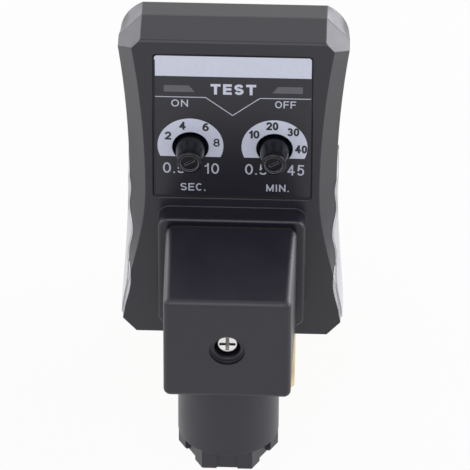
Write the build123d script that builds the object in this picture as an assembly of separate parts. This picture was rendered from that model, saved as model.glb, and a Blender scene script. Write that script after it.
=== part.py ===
from build123d import *
import math
import os

# Automatic drain valve: a direct acting 2/2 brass valve, its solenoid coil, and a timer head that
# plugs between the coil and a square cable connector.
# Millimetres, +Z up along the armature tube, origin where the inlet port's thread begins.
# The inlet looks along +Y, the outlet and the front panel of the timer look along -Y.

# ---- clearances ----
THREAD_GAP = 0.1        # a male thread inside its female thread, per side
FIT_GAP = 0.05          # a piece seated in its pocket, per side
SLIDE_GAP = 0.1         # plunger in its tube, shafts and buttons in their bores, per side
SWIVEL_GAP = 0.15       # coil round the armature tube, per side
SEAT_GAP = 0.05         # faces that only touch under load

# ---- valve body ----
BODY_LENGTH = 50.0      # port face to port face
PORT_HEX_AF = 27.0
PORT_HEX_LENGTH = 14.5
PORT_BORE_R = 9.3       # core of the G1/2 thread
PORT_THREAD_DEPTH = 12.5
PORT_CHAMFER = 1.4
NECK_R = 11.0           # round waist between the hexagons
BOSS_R = 12.0           # upright boss that takes the bonnet
BOSS_TOP_Z = 16.0
BOSS_BOTTOM_Z = -12.0
CHAMBER_R = 9.0
SEAT_TOP_Z = 1.5
SEAT_HEIGHT = 1.5
SEAT_R = 3.6
ORIFICE_R = 2.25
INLET_DRILL_R = 3.0
OUTLET_DRILL_R = 3.0
OUTLET_DRILL_Z = -5.0
DRILL_LAP = 1.0         # reach of the drillings into the port and the chamber

# ---- stem: bonnet, armature tube, fixed core ----
BONNET_AF = 22.0
BONNET_HEX_HEIGHT = 4.9
BONNET_SKIRT = 7.0
O_RING_R = 0.8
TUBE_R = 6.5
TUBE_WALL = 0.5
STEM_SUNK = 0.55        # top of the coil down to the top of the armature tube
STUD_R = 4.0
STUD_LENGTH = 9.5
LIFT = 2.0              # plunger travel
PLUNGER_LENGTH = 31.0
NOSE_R = 4.8
NOSE_LENGTH = 7.4
SEAL_R = 3.9
SEAL_THICKNESS = 2.4
SEAL_PROUD = 0.6
SPRING_WIRE_R = 0.3
SPRING_R = 1.9
SPRING_POCKET_R = 2.6
SPRING_POCKET_DEPTH = 9.0
SPRING_TURNS = 7
RING_MEAN_R = 4.3
RING_WIDTH = 0.9
RING_HEIGHT = 1.4
NUT_AF = 14.0
NUT_HEIGHT = 6.0
WASHER_R = 8.5
WASHER_THICKNESS = 0.9

# ---- coil ----
COIL_WIDTH = 30.0
COIL_HEIGHT = 36.0
COIL_FRONT = 19.2       # stem axis to the face that carries the blades
COIL_REAR = 16.0        # stem axis to the back
COIL_REAR_CORNER = 9.0
COIL_EDGE = 1.0
COIL_SKIN = 2.0         # moulding above and below the yoke
YOKE_WIDTH = 22.0
YOKE_THICKNESS = 2.0
YOKE_FRONT = 9.0
YOKE_REAR = 13.0
BOBBIN_WALL = 1.0
BOBBIN_FLANGE = 1.2
BOBBIN_R = 10.8
WINDING_R = 10.4

# ---- plug standard: three blades round one long M3 screw ----
PLUG_AXIS_Z = 35.3      # height of that screw above the ports
BLADE_OFFSET = 9.0
BLADE_WIDTH = 6.3
BLADE_THICKNESS = 0.8
BLADE_SLOT_GAP = 0.15
COIL_BLADE_LENGTH = 6.4
COIL_BLADE_ROOT = 2.6
PLUG_BLADE_LENGTH = 9.0
SCREW_R = 1.45
SCREW_HOLE_R = 1.75
SCREW_HEAD_R = 2.25
SCREW_HEAD_HEIGHT = 1.7
SCREW_TIP = 6.0         # reach of the screw into the coil
SCREW_SLOT = 0.6
CROSS_WIDTH = 0.7
CROSS_DEPTH = 0.8

# ---- timer head; heights are measured from the plug axis ----
REAR_GASKET = 1.0
HEAD_DEPTH = 14.8
HEAD_TOP = 56.1
HEAD_BOTTOM = -19.3
TOP_HALF = 19.25        # half width of the flat top
BOTTOM_HALF = 20.4
SHOULDER = (24.1, 51.0)
REAR_SHOULDER = ((22.15, 53.85), (23.95, 48.8))   # middle and end of the round shoulder at the back
WAIST = (21.9, 18.6)
FOOT = (23.5, -15.6)
HIP_SAG = 0.33          # hollow of the flank between waist and foot
FRONT_SHOULDER = (21.0, 54.1)
FRONT_WAIST = (18.3, 18.6)
FRONT_HIP = (20.75, 0.0)    # the bevel narrows quickly below the waist
FRONT_FOOT = (23.3, -16.0)
BEVEL_DEPTH = 5.2
BROW = 0.4              # chamfer round the front face
REAR_EDGE = 0.5
SHELL_WALL = 2.0
REAR_SHELL_DEPTH = 5.3

GRIP_PROUD = 0.3
GRIP_THICKNESS = 1.1
GRIP_TOP = 23.0
GRIP_BOTTOM = -17.0
# front edge of a grip with its two finger scallops: depth behind the panel, height
GRIP_WAVE = ((2.2, -15.6), (0.6, -7.0), (3.6, -0.4), (3.1, 4.6), (4.9, 9.4))
RIB_COUNT = 5
RIB_PITCH = 2.0
RIB_WIDTH = 1.0
RIB_PROUD = 0.35
RIB_MIDDLE = 16.0

PANEL_WIDTH = 32.9
PANEL_LOW = 16.4
PANEL_HIGH = 52.5
PANEL_RECESS = 0.3
PANEL_GAP = 0.2
FILM_THICKNESS = 0.25
FILM_CORNER = 0.7
DIAL_OFFSET = 8.8
DIAL_HEIGHT = 29.3
DIAL_HOLE_R = 3.8
LAMP_OFFSET = 11.3
LAMP_HEIGHT = 44.2
LAMP_R = 1.5
LAMP_FLANGE = 0.4
TEST_R = 1.75
TEST_TRAVEL = 0.3

PLINTH_WIDTH = 31.0
PLINTH_HEIGHT = 27.8
PLINTH_DEPTH = 4.7
PLINTH_CORNER = 2.4
PLINTH_EDGE = 0.5

# ---- circuit board and what it carries ----
BOARD_DEPTH = 6.8       # front of the head to the front of the board
BOARD_THICKNESS = 1.6
BOARD_WIDTH = 29.0
BOARD_LOW = -14.5
BOARD_HIGH = 52.5
POST_R = 1.8
POST_OFFSET = 12.5
POST_LOW = -11.0
SCREW_SPOTS = ((-15.3, 49.0), (15.3, 49.0), (-16.3, -12.0), (16.3, -12.0))
SCREW_POST_R = 2.6
CASE_SCREW_R = 1.1
CASE_HEAD_R = 2.1
CASE_HEAD_HEIGHT = 1.4
CASE_SCREW_LENGTH = 8.0
TRIMMER_SIDE = 9.6
TRIMMER_DEPTH = 4.2
SPINDLE_R = 1.5
SPINDLE_REACH = 2.0
KNOB_OUT = 6.0          # knob face above the panel
KNOB_BASE_R = 3.4
KNOB_END_R = 2.6
KNOB_EDGE = 0.5
KNOB_DISH_R = 1.9
KNOB_DISH_DEPTH = 0.5
KNOB_SLOT_LENGTH = 2.2
KNOB_SLOT_WIDTH = 0.4
KNOB_SLOT_DEPTH = 0.6
KNOB_SLOT_TILT = 30.0
SWITCH_SIDE = 6.0
SWITCH_DEPTH = 3.4
SOCKET_WIDTH = 7.6
SOCKET_DEPTH = 2.4
SOCKET_LENGTH = 3.4
CAPACITOR_R = 3.9
CAPACITOR_LENGTH = 9.0
CAPACITOR_SPOT = (-4.0, 17.0)
CAPACITOR_DEPTH = 1.8
TRIAC_WIDTH = 8.0
TRIAC_HEIGHT = 9.5
TRIAC_DEPTH = 3.0
TRIAC_SPOT = (6.5, 17.5)
TRIAC_HOLE_R = 1.5

# ---- cable connector ----
CONNECTOR_GASKET = 1.0
GASKET_MARGINS = (3.4, 2.4)   # window of the gasket outside the blades, across and down
COIL_GASKET_MARGIN = 4.0
CONNECTOR_DEPTH = 25.8
CONNECTOR_BASE = (27.6, 25.4)
CONNECTOR_FACE = (26.6, 24.8)
CONNECTOR_WALL = 1.8
CONNECTOR_CORNER = 1.5
CONNECTOR_EDGE = 1.2
SCREW_WELL_R = 3.75
SCREW_WELL_STEP_R = 2.75
SCREW_WELL_STEP_DEPTH = 1.0
SCREW_HEAD_SUNK = 2.25
SCREW_WASHER = 0.6
SCREW_TOWER_R = 5.0
INSERT_DEPTH = 14.0
INSERT_LOW = -7.0
INSERT_HIGH = 10.6
INSERT_FILLET = 1.0
CONTACT_LENGTH = 10.0
CONTACT_WIDTH = 7.4
CONTACT_THICKNESS = 2.0
CLAMP_HEAD_R = 1.4
CLAMP_HEAD_HEIGHT = 1.5

GLAND_OFFSET = 19.5     # front of the head to the cable axis
GLAND_R = 10.7
GLAND_RIM = -29.0
GLAND_BORE_R = 8.3
GLAND_NUT_HEIGHT = 5.0
GLAND_NUT_R = 10.6      # corner lugs, across corners over two
GLAND_NUT_NOTCH = (4.4, 0.8)   # width and depth of the hollow in each flat
GLAND_NUT_EDGE = 0.4
GLAND_THROAT_R = 6.5
GLAND_SHANK = 6.0
GLAND_SHANK_R = 8.2
CABLE_BORE_R = 5.0
GROMMET_LENGTH = 7.0
GROMMET_BORE_R = 3.6
GLAND_WASHER = 1.0

# ---- stations worked out from the above ----
INLET_FACE_Y = PORT_CHAMFER     # the thread, and so the origin, begins behind the chamfer
OUTLET_FACE_Y = INLET_FACE_Y - BODY_LENGTH
STEM_Y = (INLET_FACE_Y + OUTLET_FACE_Y) / 2
COIL_FACE_Y = STEM_Y - COIL_FRONT
HEAD_REAR_Y = COIL_FACE_Y - REAR_GASKET
SEAM_Y = HEAD_REAR_Y - REAR_SHELL_DEPTH
PANEL_Y = HEAD_REAR_Y - HEAD_DEPTH
BEVEL_Y = PANEL_Y + BEVEL_DEPTH
INNER_FRONT_Y = PANEL_Y + SHELL_WALL
INNER_REAR_Y = HEAD_REAR_Y - SHELL_WALL
BOARD_Y = PANEL_Y + BOARD_DEPTH
BOARD_REAR_Y = BOARD_Y + BOARD_THICKNESS
PLINTH_Y = PANEL_Y - PLINTH_DEPTH
CONNECTOR_Y = PLINTH_Y - CONNECTOR_GASKET
CONNECTOR_FACE_Y = CONNECTOR_Y - CONNECTOR_DEPTH
GLAND_Y = PANEL_Y - GLAND_OFFSET
SCREW_HEAD_Y = CONNECTOR_FACE_Y + SCREW_HEAD_SUNK
SCREW_SEAT_Y = SCREW_HEAD_Y + SCREW_HEAD_HEIGHT
WELL_FLOOR_Y = SCREW_SEAT_Y + SCREW_WASHER
COIL_BOTTOM_Z = BOSS_TOP_Z + BONNET_HEX_HEIGHT + SEAT_GAP
COIL_TOP_Z = COIL_BOTTOM_Z + COIL_HEIGHT
STEM_TOP_Z = COIL_TOP_Z - STEM_SUNK
COIL_BORE_R = TUBE_R + SWIVEL_GAP
PLUNGER_R = TUBE_R - TUBE_WALL - SLIDE_GAP
PLUNGER_BOTTOM_Z = SEAT_TOP_Z + SEAT_GAP + SEAL_PROUD
PLUNGER_TOP_Z = PLUNGER_BOTTOM_Z + PLUNGER_LENGTH
CORE_BOTTOM_Z = PLUNGER_TOP_Z + LIFT
YOKE_BOTTOM_Z = COIL_BOTTOM_Z + COIL_SKIN
YOKE_TOP_Z = COIL_TOP_Z - COIL_SKIN
BOBBIN_BOTTOM_Z = YOKE_BOTTOM_Z + YOKE_THICKNESS + FIT_GAP
BOBBIN_TOP_Z = YOKE_TOP_Z - YOKE_THICKNESS - FIT_GAP
POST_HIGH = (DIAL_HEIGHT + TRIMMER_SIDE / 2 + LAMP_HEIGHT - LAMP_R - LAMP_FLANGE) / 2
POST_SPOTS = [(side * POST_OFFSET, height) for side in (-1, 1) for height in (POST_HIGH, POST_LOW)]
INSERT_TAPER = (CONNECTOR_BASE[0] - CONNECTOR_FACE[0]) * INSERT_DEPTH / CONNECTOR_DEPTH
INSERT_WIDTH = CONNECTOR_BASE[0] - INSERT_TAPER - 2 * (CONNECTOR_WALL + SLIDE_GAP)
BLADE_SPOTS = ((-BLADE_OFFSET, 0, 0), (BLADE_OFFSET, 0, 0), (0, BLADE_OFFSET, 90))


# ---- small helpers ----
def facing(y):
    """Sketch plane at depth y that looks out of the front, centred on the plug axis."""
    return Plane(origin=(0, y, PLUG_AXIS_Z), x_dir=(1, 0, 0), z_dir=(0, -1, 0))


def between(sketch, y_front, y_rear):
    """Prism of a front-facing sketch from depth y_front back to y_rear."""
    return extrude(facing(y_rear) * sketch, amount=y_rear - y_front)


def front_disc(radius, y_front, y_rear, x=0.0, height=0.0):
    """Round bar along Y."""
    return between(Pos(x, height) * Circle(radius), y_front, y_rear)


def front_block(width, tall, y_front, y_rear, x=0.0, height=0.0):
    """Square-edged block, sized across the front."""
    return between(Pos(x, height) * Rectangle(width, tall), y_front, y_rear)


def upright(radius, z_low, z_high, x=0.0, y=STEM_Y):
    """Round bar along Z."""
    return extrude(Plane.XY.offset(z_low) * Pos(x, y) * Circle(radius), amount=z_high - z_low)


def hexagon(across_flats, z_low, z_high, y=STEM_Y, turn=0.0):
    """Hexagonal bar along Z."""
    outline = Pos(0, y) * Rot(0, 0, turn) * RegularPolygon(across_flats / 2, 6, major_radius=False)
    return extrude(Plane.XY.offset(z_low) * outline, amount=z_high - z_low)


def port_bar(radius, y_low, y_high, z=0.0):
    """Round bar along the ports."""
    return extrude(Plane(origin=(0, y_high, z), x_dir=(1, 0, 0), z_dir=(0, -1, 0)) * Circle(radius),
                   amount=y_high - y_low)


def one_solid(shape):
    """The single solid of a boolean result."""
    solids = shape.solids()
    assert len(solids) == 1, f"{len(solids)} solids where one was meant"
    return solids[0]


# ---- valve ----
def port_hexagon(face_y, inward):
    """One hexagonal boss with flats left and right, its outer edge turned off by the chamfer."""
    back_y = face_y + inward * PORT_HEX_LENGTH
    low, high = min(face_y, back_y), max(face_y, back_y)
    outline = Rot(0, 0, 30) * RegularPolygon(PORT_HEX_AF / 2, 6, major_radius=False)
    plane = Plane(origin=(0, high, 0), x_dir=(1, 0, 0), z_dir=(0, -1, 0))
    bar = extrude(plane * outline, amount=high - low)
    corner_r = PORT_HEX_AF / math.sqrt(3)
    flank = corner_r - PORT_HEX_AF / 2
    cone = Cone(corner_r + FIT_GAP + PORT_HEX_LENGTH, PORT_HEX_AF / 2 - 0.4, PORT_HEX_LENGTH + flank + 0.4)
    toward_face = Plane(origin=(0, back_y, 0), x_dir=(1, 0, 0), z_dir=(0, -inward, 0))
    turned = toward_face * (Pos(0, 0, (PORT_HEX_LENGTH + flank + 0.4) / 2 - flank - 0.4) * cone)
    return bar & turned


def port_cut(face_y, inward):
    """Threaded port: core bore and the chamfer at its mouth."""
    bore_end = face_y + inward * PORT_THREAD_DEPTH
    bore = port_bar(PORT_BORE_R, min(face_y, bore_end), max(face_y, bore_end))
    mouth = Cone(PORT_BORE_R, PORT_BORE_R + PORT_CHAMFER, PORT_CHAMFER)
    toward_face = Plane(origin=(0, face_y + inward * PORT_CHAMFER / 2, 0), x_dir=(1, 0, 0),
                        z_dir=(0, -inward, 0))
    return bore + toward_face * mouth


def valve_body():
    body = port_bar(NECK_R, OUTLET_FACE_Y + PORT_HEX_LENGTH / 2, INLET_FACE_Y - PORT_HEX_LENGTH / 2)
    body += port_hexagon(INLET_FACE_Y, -1) + port_hexagon(OUTLET_FACE_Y, 1)
    boss = upright(BOSS_R, BOSS_BOTTOM_Z, BOSS_TOP_Z)
    body += chamfer(boss.edges().sort_by(Axis.Z)[0], 1.5)
    body -= port_cut(INLET_FACE_Y, -1) + port_cut(OUTLET_FACE_Y, 1)
    chamber_floor = SEAT_TOP_Z - SEAT_HEIGHT
    body -= upright(CHAMBER_R, chamber_floor, BOSS_TOP_Z)
    seat = Pos(0, STEM_Y, chamber_floor + SEAT_HEIGHT / 2) * Cone(SEAT_R + 0.9, SEAT_R - 0.5, SEAT_HEIGHT)
    body += seat
    body -= upright(ORIFICE_R, OUTLET_DRILL_Z, SEAT_TOP_Z)
    inlet_z = chamber_floor + INLET_DRILL_R + 0.3
    inlet_end = INLET_FACE_Y - PORT_THREAD_DEPTH + DRILL_LAP
    outlet_end = OUTLET_FACE_Y + PORT_THREAD_DEPTH - DRILL_LAP
    body -= port_bar(INLET_DRILL_R, STEM_Y + CHAMBER_R - DRILL_LAP, inlet_end, inlet_z)
    body -= port_bar(OUTLET_DRILL_R, outlet_end, STEM_Y, OUTLET_DRILL_Z)
    body -= Pos(0, STEM_Y, OUTLET_DRILL_Z) * Sphere(OUTLET_DRILL_R)
    return one_solid(body)


def bonnet():
    top_z = BOSS_TOP_Z + BONNET_HEX_HEIGHT
    head = hexagon(BONNET_AF, BOSS_TOP_Z, top_z)
    corner_r = BONNET_AF / math.sqrt(3)
    dome = Pos(0, STEM_Y, top_z - (corner_r + 1) / 2) * Cone(2 * corner_r, corner_r - 1.0, corner_r + 1)
    skirt = upright(CHAMBER_R - THREAD_GAP, BOSS_TOP_Z - BONNET_SKIRT, BOSS_TOP_Z)
    groove_z = BOSS_TOP_Z - 2 * O_RING_R
    groove = upright(BOSS_R, groove_z, BOSS_TOP_Z) - upright(CHAMBER_R - 2 * O_RING_R, groove_z, BOSS_TOP_Z)
    body = (head & dome) + (skirt - groove)
    return one_solid(body - upright(TUBE_R + FIT_GAP, BOSS_TOP_Z - BONNET_SKIRT, top_z))


def bonnet_o_ring():
    tube_r = O_RING_R - FIT_GAP
    centre_r = CHAMBER_R - O_RING_R
    return Pos(0, STEM_Y, BOSS_TOP_Z - O_RING_R) * Torus(centre_r, tube_r)


def armature_tube():
    low = BOSS_TOP_Z - BONNET_SKIRT
    return upright(TUBE_R, low, STEM_TOP_Z) - upright(TUBE_R - TUBE_WALL, low, STEM_TOP_Z)


def fixed_core():
    core = upright(TUBE_R - TUBE_WALL - FIT_GAP, CORE_BOTTOM_Z, STEM_TOP_Z)
    stud = upright(STUD_R, STEM_TOP_Z, STEM_TOP_Z + STUD_LENGTH)
    core += chamfer(stud.edges().sort_by(Axis.Z)[-1], 0.8)
    groove_low, groove_high = CORE_BOTTOM_Z, CORE_BOTTOM_Z + RING_HEIGHT
    outer = upright(RING_MEAN_R + RING_WIDTH / 2 + FIT_GAP, groove_low, groove_high)
    inner = upright(RING_MEAN_R - RING_WIDTH / 2 - FIT_GAP, groove_low, groove_high)
    return one_solid(core - (outer - inner))


def shading_ring():
    low, high = CORE_BOTTOM_Z, CORE_BOTTOM_Z + RING_HEIGHT - FIT_GAP
    bore = upright(RING_MEAN_R - RING_WIDTH / 2, low, high)
    return upright(RING_MEAN_R + RING_WIDTH / 2, low, high) - bore


def plunger():
    nose_top = PLUNGER_BOTTOM_Z + NOSE_LENGTH
    body = upright(NOSE_R, PLUNGER_BOTTOM_Z, nose_top) + upright(PLUNGER_R, nose_top, PLUNGER_TOP_Z)
    body = chamfer(body.edges().sort_by(Axis.Z)[-1], 0.4)
    body -= upright(SPRING_POCKET_R, PLUNGER_TOP_Z - SPRING_POCKET_DEPTH, PLUNGER_TOP_Z)
    seal_top = PLUNGER_BOTTOM_Z - SEAL_PROUD + SEAL_THICKNESS
    body -= upright(SEAL_R + FIT_GAP, PLUNGER_BOTTOM_Z, seal_top)
    return one_solid(body)


def plunger_seal():
    low = PLUNGER_BOTTOM_Z - SEAL_PROUD
    disc = upright(SEAL_R, low, low + SEAL_THICKNESS)
    return fillet(disc.edges().sort_by(Axis.Z)[0], 0.2)


def plunger_spring():
    low = PLUNGER_TOP_Z - SPRING_POCKET_DEPTH
    high = CORE_BOTTOM_Z - SEAT_GAP
    height = high - low - 2 * SPRING_WIRE_R - SEAT_GAP
    path = Helix(pitch=height / SPRING_TURNS, height=height, radius=SPRING_R)
    section = Plane(origin=path @ 0, z_dir=path % 0) * Circle(SPRING_WIRE_R)
    return Pos(0, STEM_Y, low + SPRING_WIRE_R + SEAT_GAP) * sweep(section, path=path)


def coil_washer():
    low, high = COIL_TOP_Z, COIL_TOP_Z + WASHER_THICKNESS
    return upright(WASHER_R, low, high) - upright(STUD_R + THREAD_GAP, low, high)


def coil_nut():
    low = COIL_TOP_Z + WASHER_THICKNESS
    bar = hexagon(NUT_AF, low, low + NUT_HEIGHT)
    corner_r = NUT_AF / math.sqrt(3)
    dome = Pos(0, STEM_Y, low + NUT_HEIGHT / 2) * Cone(corner_r + NUT_HEIGHT, corner_r - 0.6, NUT_HEIGHT)
    return one_solid((bar & dome) - upright(STUD_R + THREAD_GAP, low, low + NUT_HEIGHT))


# ---- coil ----
def coil_outline():
    """Plan of the coil: square front, rounded back."""
    middle = (COIL_REAR - COIL_FRONT) / 2
    plan = Pos(0, STEM_Y + middle) * Rectangle(COIL_WIDTH, COIL_FRONT + COIL_REAR)
    back = plan.vertices().group_by(Axis.Y)[-1]
    plan = fillet(back, COIL_REAR_CORNER)
    return fillet(plan.vertices().group_by(Axis.Y)[0], 2 * COIL_EDGE)


def blades(y_tip, y_root):
    """Three flat blades round the plug axis."""
    one = Rectangle(BLADE_THICKNESS, BLADE_WIDTH)
    return [between(Pos(x, h) * Rot(0, 0, turn) * one, y_tip, y_root) for x, h, turn in BLADE_SPOTS]


def blade_slots(y_front, y_rear):
    """Openings that the three blades pass through."""
    one = Rectangle(BLADE_THICKNESS + 2 * BLADE_SLOT_GAP, BLADE_WIDTH + 2 * BLADE_SLOT_GAP)
    slots = Sketch() + [Pos(x, h) * Rot(0, 0, turn) * one for x, h, turn in BLADE_SPOTS]
    return between(slots, y_front, y_rear)


def coil_housing():
    body = extrude(Plane.XY.offset(COIL_BOTTOM_Z) * coil_outline(), amount=COIL_HEIGHT)
    rims = body.edges().filter_by(Plane.XY)
    body = fillet(rims, COIL_EDGE)
    yoke_room = [YOKE_WIDTH, YOKE_FRONT + YOKE_REAR, YOKE_TOP_Z - YOKE_BOTTOM_Z]
    middle_y = STEM_Y + (YOKE_REAR - YOKE_FRONT) / 2
    middle_z = (YOKE_BOTTOM_Z + YOKE_TOP_Z) / 2
    cavity = Pos(0, middle_y, middle_z) * Box(*[side + 2 * FIT_GAP for side in yoke_room])
    cavity += upright(BOBBIN_R + FIT_GAP, YOKE_BOTTOM_Z, YOKE_TOP_Z)
    body -= cavity
    body -= upright(COIL_BORE_R, COIL_BOTTOM_Z, COIL_TOP_Z)
    body -= front_disc(SCREW_R + THREAD_GAP, COIL_FACE_Y, COIL_FACE_Y + SCREW_TIP + 1)
    for blade in blades(COIL_FACE_Y, COIL_FACE_Y + COIL_BLADE_ROOT):
        body -= blade
    return one_solid(body)


def coil_yoke():
    middle_y = STEM_Y + (YOKE_REAR - YOKE_FRONT) / 2
    depth = YOKE_FRONT + YOKE_REAR
    tall = YOKE_TOP_Z - YOKE_BOTTOM_Z
    body = Pos(0, middle_y, (YOKE_BOTTOM_Z + YOKE_TOP_Z) / 2) * Box(YOKE_WIDTH, depth, tall)
    window = Pos(0, middle_y - YOKE_THICKNESS, (YOKE_BOTTOM_Z + YOKE_TOP_Z) / 2) * Box(
        YOKE_WIDTH, depth, tall - 2 * YOKE_THICKNESS)
    return one_solid(body - window - upright(COIL_BORE_R, YOKE_BOTTOM_Z, YOKE_TOP_Z))


def coil_bobbin():
    body = upright(COIL_BORE_R + BOBBIN_WALL, BOBBIN_BOTTOM_Z, BOBBIN_TOP_Z)
    body += upright(BOBBIN_R, BOBBIN_BOTTOM_Z, BOBBIN_BOTTOM_Z + BOBBIN_FLANGE)
    body += upright(BOBBIN_R, BOBBIN_TOP_Z - BOBBIN_FLANGE, BOBBIN_TOP_Z)
    return one_solid(body - upright(COIL_BORE_R, BOBBIN_BOTTOM_Z, BOBBIN_TOP_Z))


def coil_winding():
    low = BOBBIN_BOTTOM_Z + BOBBIN_FLANGE + FIT_GAP
    high = BOBBIN_TOP_Z - BOBBIN_FLANGE - FIT_GAP
    return upright(WINDING_R, low, high) - upright(COIL_BORE_R + BOBBIN_WALL + FIT_GAP, low, high)


def coil_terminals():
    return Compound(blades(COIL_FACE_Y - COIL_BLADE_LENGTH, COIL_FACE_Y + COIL_BLADE_ROOT - FIT_GAP))


def coil_gasket():
    pad = RectangleRounded(CONNECTOR_BASE[0] - 1, CONNECTOR_BASE[1] - 1, 2)
    opening = 2 * BLADE_OFFSET + COIL_GASKET_MARGIN
    window = RectangleRounded(opening, opening, 1)
    return one_solid(between(pad - window, HEAD_REAR_Y, COIL_FACE_Y))


# ---- timer housing ----
def grown_corner(before, corner, after, grow):
    """Corner of an outline moved outwards by grow, from the two sides that meet there."""
    into = (Vector(*corner) - Vector(*before)).normalized().rotate(Axis.Z, 90)
    out = (Vector(*after) - Vector(*corner)).normalized().rotate(Axis.Z, 90)
    moved = Vector(*corner) + (into + out) * (grow / (1 + into.dot(out)))
    return moved.X, moved.Y


def head_outline(shoulder, waist, hip, foot, grow, bulge=None):
    """Waisted outline: flat top, cut or round (bulge) shoulders, flanks that swell again to the foot."""
    top, bottom = (TOP_HALF, HEAD_TOP), (BOTTOM_HALF, HEAD_BOTTOM)
    above_foot, below_shoulder = (foot[0], waist[1]), (shoulder[0], waist[1])
    top_grown = grown_corner((0, HEAD_TOP), top, shoulder, grow)
    shoulder_grown = grown_corner(top, shoulder, below_shoulder, grow)
    foot_grown = grown_corner(above_foot, foot, bottom, grow)
    bottom_grown = grown_corner(foot, bottom, (0, HEAD_BOTTOM), grow)
    waist_grown = (waist[0] + grow, waist[1])
    hip_grown = (hip[0] + grow, hip[1])
    half = [
        Line((0, top_grown[1]), top_grown),
        ThreePointArc(top_grown, bulge, shoulder_grown) if bulge else Line(top_grown, shoulder_grown),
        TangentArc(waist_grown, shoulder_grown, tangent=(0, 1)),
        Spline(waist_grown, hip_grown, foot_grown, tangents=[(0, -1), (0.05, -1)]),
        Line(foot_grown, bottom_grown),
        Line(bottom_grown, (0, bottom_grown[1])),
        Line((0, bottom_grown[1]), (0, top_grown[1])),
    ]
    right = make_face(Curve() + half)
    return (right + right.mirror(Plane.YZ)).clean()


def outer_hip():
    return (WAIST[0] + FOOT[0]) / 2 - HIP_SAG, (WAIST[1] + FOOT[1]) / 2


def outer_outline(grow=0.0):
    return head_outline(SHOULDER, WAIST, outer_hip(), FOOT, grow)


def front_outline(grow=0.0):
    return head_outline(FRONT_SHOULDER, FRONT_WAIST, FRONT_HIP, FRONT_FOOT, grow)


def rear_outline():
    middle, end = REAR_SHOULDER
    return head_outline(end, WAIST, outer_hip(), FOOT, 0.0, bulge=middle)


def head_form(grow, y_rear):
    """The head's outside, moved outwards by grow: a ruled bevel and a straight flank behind it."""
    bevel = loft([facing(BEVEL_Y) * outer_outline(grow), facing(PANEL_Y) * front_outline(grow)], ruled=True)
    return bevel + between(outer_outline(grow), BEVEL_Y, y_rear)


def grip_profile(gap):
    """Side view of a grip, with its two finger scallops, as a prism across the whole head."""
    wave = [(PANEL_Y + depth - gap, height) for depth, height in GRIP_WAVE]
    rear = SEAM_Y
    top, bottom = GRIP_TOP + gap, GRIP_BOTTOM - gap
    edge = [
        Line((rear, bottom), (wave[0][0], bottom)),
        Line((wave[0][0], bottom), wave[0]),
        Spline(*wave, (rear, top), tangents=[(-0.2, 1), (1, 0.9)]),
        Line((rear, top), (rear, bottom)),
    ]
    side = Plane(origin=(0, 0, PLUG_AXIS_Z), x_dir=(0, 1, 0), z_dir=(1, 0, 0))
    return extrude(side * make_face(Curve() + edge), amount=2 * SHOULDER[0], both=True)


def grips():
    ring = head_form(GRIP_PROUD, SEAM_Y) - head_form(-GRIP_THICKNESS, SEAM_Y)
    pair = (ring & grip_profile(0.0)).solids().sort_by(Axis.X)
    return pair[0], pair[-1]


def grip_pockets():
    ring = head_form(GRIP_PROUD + 1, SEAM_Y) - head_form(-GRIP_THICKNESS - FIT_GAP, SEAM_Y)
    return ring & grip_profile(FIT_GAP)


def shell_cavity(y_rear):
    """Inside of the head: the front outline stepped out to the flank."""
    narrow = between(front_outline(-SHELL_WALL), INNER_FRONT_Y, y_rear)
    return narrow + between(outer_outline(-SHELL_WALL - GRIP_THICKNESS), BEVEL_Y + SHELL_WALL / 2, y_rear)


def plinth():
    """Raised base for the connector, in one with the front shell."""
    pad = between(RectangleRounded(PLINTH_WIDTH, PLINTH_HEIGHT, PLINTH_CORNER), PLINTH_Y, INNER_FRONT_Y)
    return fillet(pad.faces().sort_by(Axis.Y)[0].edges(), PLINTH_EDGE)


def front_shell():
    body = head_form(0.0, SEAM_Y)
    brow = body.faces().sort_by(Axis.Y)[0].edges()
    body = chamfer(brow.group_by(Axis.Z)[-1], BROW)
    body -= shell_cavity(SEAM_Y)
    body += plinth()
    for x, height in POST_SPOTS:
        body += front_disc(POST_R, INNER_FRONT_Y, BOARD_Y, x, height)
    for x, height in SCREW_SPOTS:
        body += front_disc(SCREW_POST_R, INNER_FRONT_Y, SEAM_Y, x, height)
        body -= front_disc(CASE_SCREW_R + THREAD_GAP, SEAM_Y - CASE_SCREW_LENGTH, SEAM_Y, x, height)
    panel_middle = (PANEL_LOW + PANEL_HIGH) / 2
    recess = Pos(0, panel_middle) * RectangleRounded(
        PANEL_WIDTH + 2 * PANEL_GAP, PANEL_HIGH - PANEL_LOW + 2 * PANEL_GAP, FILM_CORNER + PANEL_GAP)
    body -= between(recess, PANEL_Y, PANEL_Y + PANEL_RECESS)
    for side in (-1, 1):
        body -= front_disc(DIAL_HOLE_R, PANEL_Y, INNER_FRONT_Y, side * DIAL_OFFSET, DIAL_HEIGHT)
        body -= front_disc(LAMP_R + SLIDE_GAP, PANEL_Y, INNER_FRONT_Y, side * LAMP_OFFSET, LAMP_HEIGHT)
    body -= front_disc(TEST_R + SLIDE_GAP, PANEL_Y, INNER_FRONT_Y, 0, LAMP_HEIGHT)
    body -= front_disc(SCREW_HOLE_R, PLINTH_Y, INNER_FRONT_Y)
    body -= blade_slots(PLINTH_Y, INNER_FRONT_Y)
    body -= grip_pockets()
    return one_solid(body)


def rear_form():
    """Outside of the rear half: the cut shoulders of the seam run out into round ones."""
    sections = [facing(SEAM_Y) * outer_outline(), facing(HEAD_REAR_Y) * rear_outline()]
    body = loft(sections, ruled=True)
    return chamfer(body.faces().sort_by(Axis.Y)[-1].edges(), REAR_EDGE)


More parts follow.
